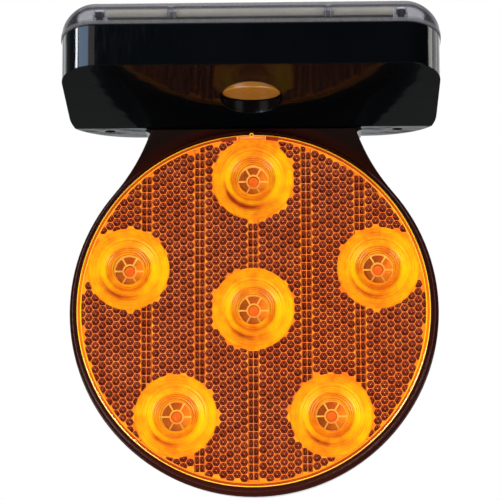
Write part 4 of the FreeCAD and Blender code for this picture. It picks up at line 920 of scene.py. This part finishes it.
def paint_nodes():
    """Gives every CAD node that shows its own material."""
    black = housing_plastic("black_housing_gloss", srgb(3, 5, 6), srgb(6, 8, 9))
    under = housing_plastic("black_head_gloss", srgb(1, 2, 2), srgb(3, 3, 4), 0.08)
    # front_housing: its brownish black, warmer still near the lens, is painted amber light from the lens on
    # black plastic.
    warm = housing_plastic("black_housing_painted_amber_light", srgb(18, 11, 10), srgb(22, 13, 11), 0.08, srgb(46, 16, 10))
    steel = metal("screw_steel_worn", srgb(120, 120, 124), srgb(80, 80, 84))
    board = plastic("solder_mask", srgb(20, 90, 50), srgb(12, 66, 38), (0.25, 0.4), 0.006, 0.0009, 0.00002)
    rubber = plastic("seal_rubber_matt", srgb(24, 24, 25), srgb(38, 38, 38), (0.6, 0.85), 0.01, 0.0005,
                     0.00003)
    dark = plastic("dark_inner_plastic", srgb(44, 45, 48), srgb(58, 58, 62), (0.45, 0.6))
    beige = plastic("beige_frame", srgb(205, 200, 180), srgb(186, 180, 160), (0.4, 0.55), 0.02)
    # The holder's emission is a painted glow of light reaching it through the lens; it is no lamp.
    white = plastic("white_holder_painted_glow", srgb(248, 240, 215), srgb(236, 226, 196), (0.15, 0.3), 0.01,
                    Emission_Color=srgb(255, 214, 150), Emission_Strength=0.34)
    silver = metal("metallised_reflector", srgb(200, 196, 190), srgb(170, 165, 160), (0.08, 0.2), 0.002)
    cover = clear_plastic("clear_cover_shell", (0.8, 0.8, 0.82, 1), 0.25, 0.05, srgb(120, 118, 126),
                          edge=srgb(72, 70, 80), bend=rounded_edge, frost=seam_frost)
    button = plastic("amber_button_satin", srgb(138, 88, 24), srgb(116, 70, 16), (0.3, 0.45), 0.008)
    nickel = metal("nickel_plate", srgb(205, 200, 190), srgb(175, 170, 162), (0.15, 0.3), 0.0006, "x")
    by_slot = {
        "black_housing": black,
        "clear_cover": cover,
        "seal_rubber": rubber,
        "amber_button": button,
        "panel_laminate": plastic("panel_board", srgb(214, 206, 176), srgb(196, 188, 158), (0.35, 0.5), 0.01),
        "silicon": silicon(),
        "beige_plastic": beige,
        "white_plastic": silver,
        "holder_plastic": white,
        # The LED dome's faint emission is a painted glow; the LED itself is not lit.
        "led_epoxy": plastic("led_epoxy_dome", srgb(235, 110, 60), srgb(255, 150, 80), (0.05, 0.12), 0.002,
                             Emission_Color=srgb(255, 90, 60), Emission_Strength=0.3),
        "circuit_board": board,
        "black_component": plastic("component_black", srgb(28, 28, 30), srgb(40, 40, 42), (0.4, 0.6), 0.004),
        "capacitor_can": metal("capacitor_sleeve", srgb(150, 152, 160), srgb(110, 112, 120)),
        "screw_steel": steel,
        "zinc_steel": threaded_zinc(),
        "inner_plastic": dark,
        "cell_sleeve": plastic("cell_sleeve_film", srgb(30, 120, 90), srgb(20, 96, 74), (0.15, 0.3), 0.01),
        "nickel_strip": nickel,
        "spring_wire": metal("spring_steel", srgb(185, 185, 190), srgb(150, 150, 156), (0.2, 0.35), 0.0003),
        "red_wire": plastic("red_insulation", srgb(190, 30, 24), srgb(165, 22, 18), (0.3, 0.45), 0.005),
        "black_wire": plastic("black_insulation", srgb(26, 26, 28), srgb(38, 38, 40), (0.3, 0.45), 0.005),
    }
    by_name = {"front_housing": warm, "head_base": under}
    for name, node in NODES.items():
        for holder in node.material_slots:
            slot = holder.material.name.split(".")[0]
            holder.material = by_name.get(name) or by_slot.get(slot, black)
    solar_ribbons(by_slot["nickel_strip"])
    button_coil(by_slot["spring_wire"])
    tray = plastic("tray_edge", srgb(246, 241, 222), srgb(232, 226, 204), (0.4, 0.55), 0.02)
    # Rib glints: white bars of painted highlight, standing in for light caught on the edges of the clear
    # ribs.
    glint = plastic("rib_glint_paint", srgb(255, 255, 255), srgb(244, 246, 250), (0.1, 0.2), 0.01)
    front_bars("panel_front_lip", LIP_SPANS, LIP_Z, tray)
    front_bars("cover_rib_glints", RIB_GLINT_SPANS, RIB_GLINT_Z, glint)


# ---------------------------------------------------------------- studio

CAMERA_PLACE = Vector((27.1, -1061, -121)) * MM
CAMERA_PITCH = 8.33
CAMERA_YAW = 1.62
CAMERA_ROLL = 0.16
CAMERA_LENS = 149.8
FLOOR_HEIGHT = -0.75
FLOOR_SIZE = 4


def add_camera():
    data = bpy.data.cameras.new("camera")
    data.lens = CAMERA_LENS
    camera = bpy.data.objects.new("camera", data)
    bpy.context.scene.collection.objects.link(camera)
    camera.location = CAMERA_PLACE
    turned = (90 + CAMERA_PITCH, CAMERA_ROLL, CAMERA_YAW)
    camera.rotation_euler = [math.radians(angle) for angle in turned]
    bpy.context.scene.camera = camera


def softbox(name, place, target, width, height, power, colour=(1, 1, 1), only=None):
    """A rectangular light. One with `only` shines on that node alone, like a flagged light in a studio."""
    data = bpy.data.lights.new(name, "AREA")
    data.shape = "RECTANGLE"
    data.size, data.size_y = width, height
    data.energy = power
    data.color = colour
    lamp = bpy.data.objects.new(name, data)
    bpy.context.scene.collection.objects.link(lamp)
    lamp.location = place
    lamp.rotation_euler = (Vector(target) - Vector(place)).to_track_quat("-Z", "Y").to_euler()
    if only:
        lit = bpy.data.collections.new(name + "_lit")
        lit.objects.link(NODES[only])
        lamp.light_linking.receiver_collection = lit


def add_floor():
    mesh = bmesh.new()
    bmesh.ops.create_grid(mesh, x_segments=2, y_segments=2, size=FLOOR_SIZE)
    data = bpy.data.meshes.new("floor")
    mesh.to_mesh(data)
    mesh.free()
    floor = bpy.data.objects.new("floor", data)
    bpy.context.scene.collection.objects.link(floor)
    floor.location.z = FLOOR_HEIGHT
    paint = plastic("floor_paint", srgb(196, 196, 195), srgb(186, 186, 185), (0.5, 0.7), 0.3, 0.004)
    data.materials.append(paint)


def add_world():
    """Pale surroundings: white where the camera looks, light behind the object and dark in front of it."""
    world = bpy.data.worlds.new("studio")
    bpy.context.scene.world = world
    world.use_nodes = True
    tree = world.node_tree
    tree.nodes.clear()
    output = tree.nodes.new("ShaderNodeOutputWorld")
    path = tree.nodes.new("ShaderNodeLightPath")
    seen = tree.nodes.new("ShaderNodeBackground")
    seen.inputs["Color"].default_value = (1, 1, 1, 1)
    around = tree.nodes.new("ShaderNodeBackground")
    around.inputs["Color"].default_value = (0.96, 0.98, 1, 1)
    place = tree.nodes.new("ShaderNodeTexCoord")
    split = tree.nodes.new("ShaderNodeSeparateXYZ")
    tree.links.new(place.outputs["Generated"], split.inputs[0])
    behind = tree.nodes.new("ShaderNodeMapRange")
    for key, level in (("From Min", -0.1), ("From Max", 0.55), ("To Min", 0.03), ("To Max", 1.0)):
        behind.inputs[key].default_value = level
    tree.links.new(split.outputs["Y"], behind.inputs["Value"])
    tree.links.new(behind.outputs["Result"], around.inputs["Strength"])
    mix = tree.nodes.new("ShaderNodeMixShader")
    tree.links.new(path.outputs["Is Camera Ray"], mix.inputs[0])
    tree.links.new(around.outputs[0], mix.inputs[1])
    tree.links.new(seen.outputs[0], mix.inputs[2])
    tree.links.new(mix.outputs[0], output.inputs["Surface"])


def add_studio():
    """Two low keys for the lens, a weak one above, and panels that the head's corners mirror: a white edge, a
    slate and a brown panel at the front left, one at the right, and pale ones behind both edges."""
    add_camera()
    add_floor()
    add_world()
    middle = (0, -0.03, 0.0)
    left, right, right_side = (-0.085, -0.08, 0.12), (0.085, -0.08, 0.12), (0.085, -0.06, 0.12)
    high = (0, -0.03, 0.1)
    head = "head_base"
    softbox("key_left", (-0.8, -0.85, -0.42), middle, 0.6, 0.6, 18.4)
    softbox("key_right", (0.85, -0.8, -0.38), middle, 0.6, 0.6, 16)
    softbox("side_left", (-1.0, -0.49, 0.37), left, 0.13, 0.6, 32, (0.94, 0.97, 1.0), head)
    softbox("slate_left", (-0.78, -0.85, 0.37), left, 0.6, 0.6, 32, (0.5, 0.7, 1.0), head)
    softbox("shade_left", (-0.41, -1.13, 0.39), left, 0.38, 0.6, 3.5, (1.0, 0.94, 0.88), head)
    softbox("behind_left", (-1.45, 2.0, 0.6), left, 1.7, 0.8, 4, only=head)
    softbox("edge_left", (-2.05, 1.3, 0.72), left, 0.7, 0.8, 6.5, only=head)
    softbox("edge_right", (2.26, 0.93, 0.72), right, 1.2, 0.8, 14, only=head)
    softbox("behind_right", (1.4, 2.0, 0.6), right, 2.0, 0.8, 7, only=head)
    softbox("side_right", (1.085, -0.06, 0.37), right_side, 0.3, 0.6, 12, (1.0, 0.97, 0.92), head)
    softbox("top", (0.0, -0.2, 1.2), high, 0.9, 0.9, 7)
    view = bpy.context.scene.view_settings
    view.view_transform = "Standard"
    view.look = "None"


paint_nodes()
build_lens()
add_studio()
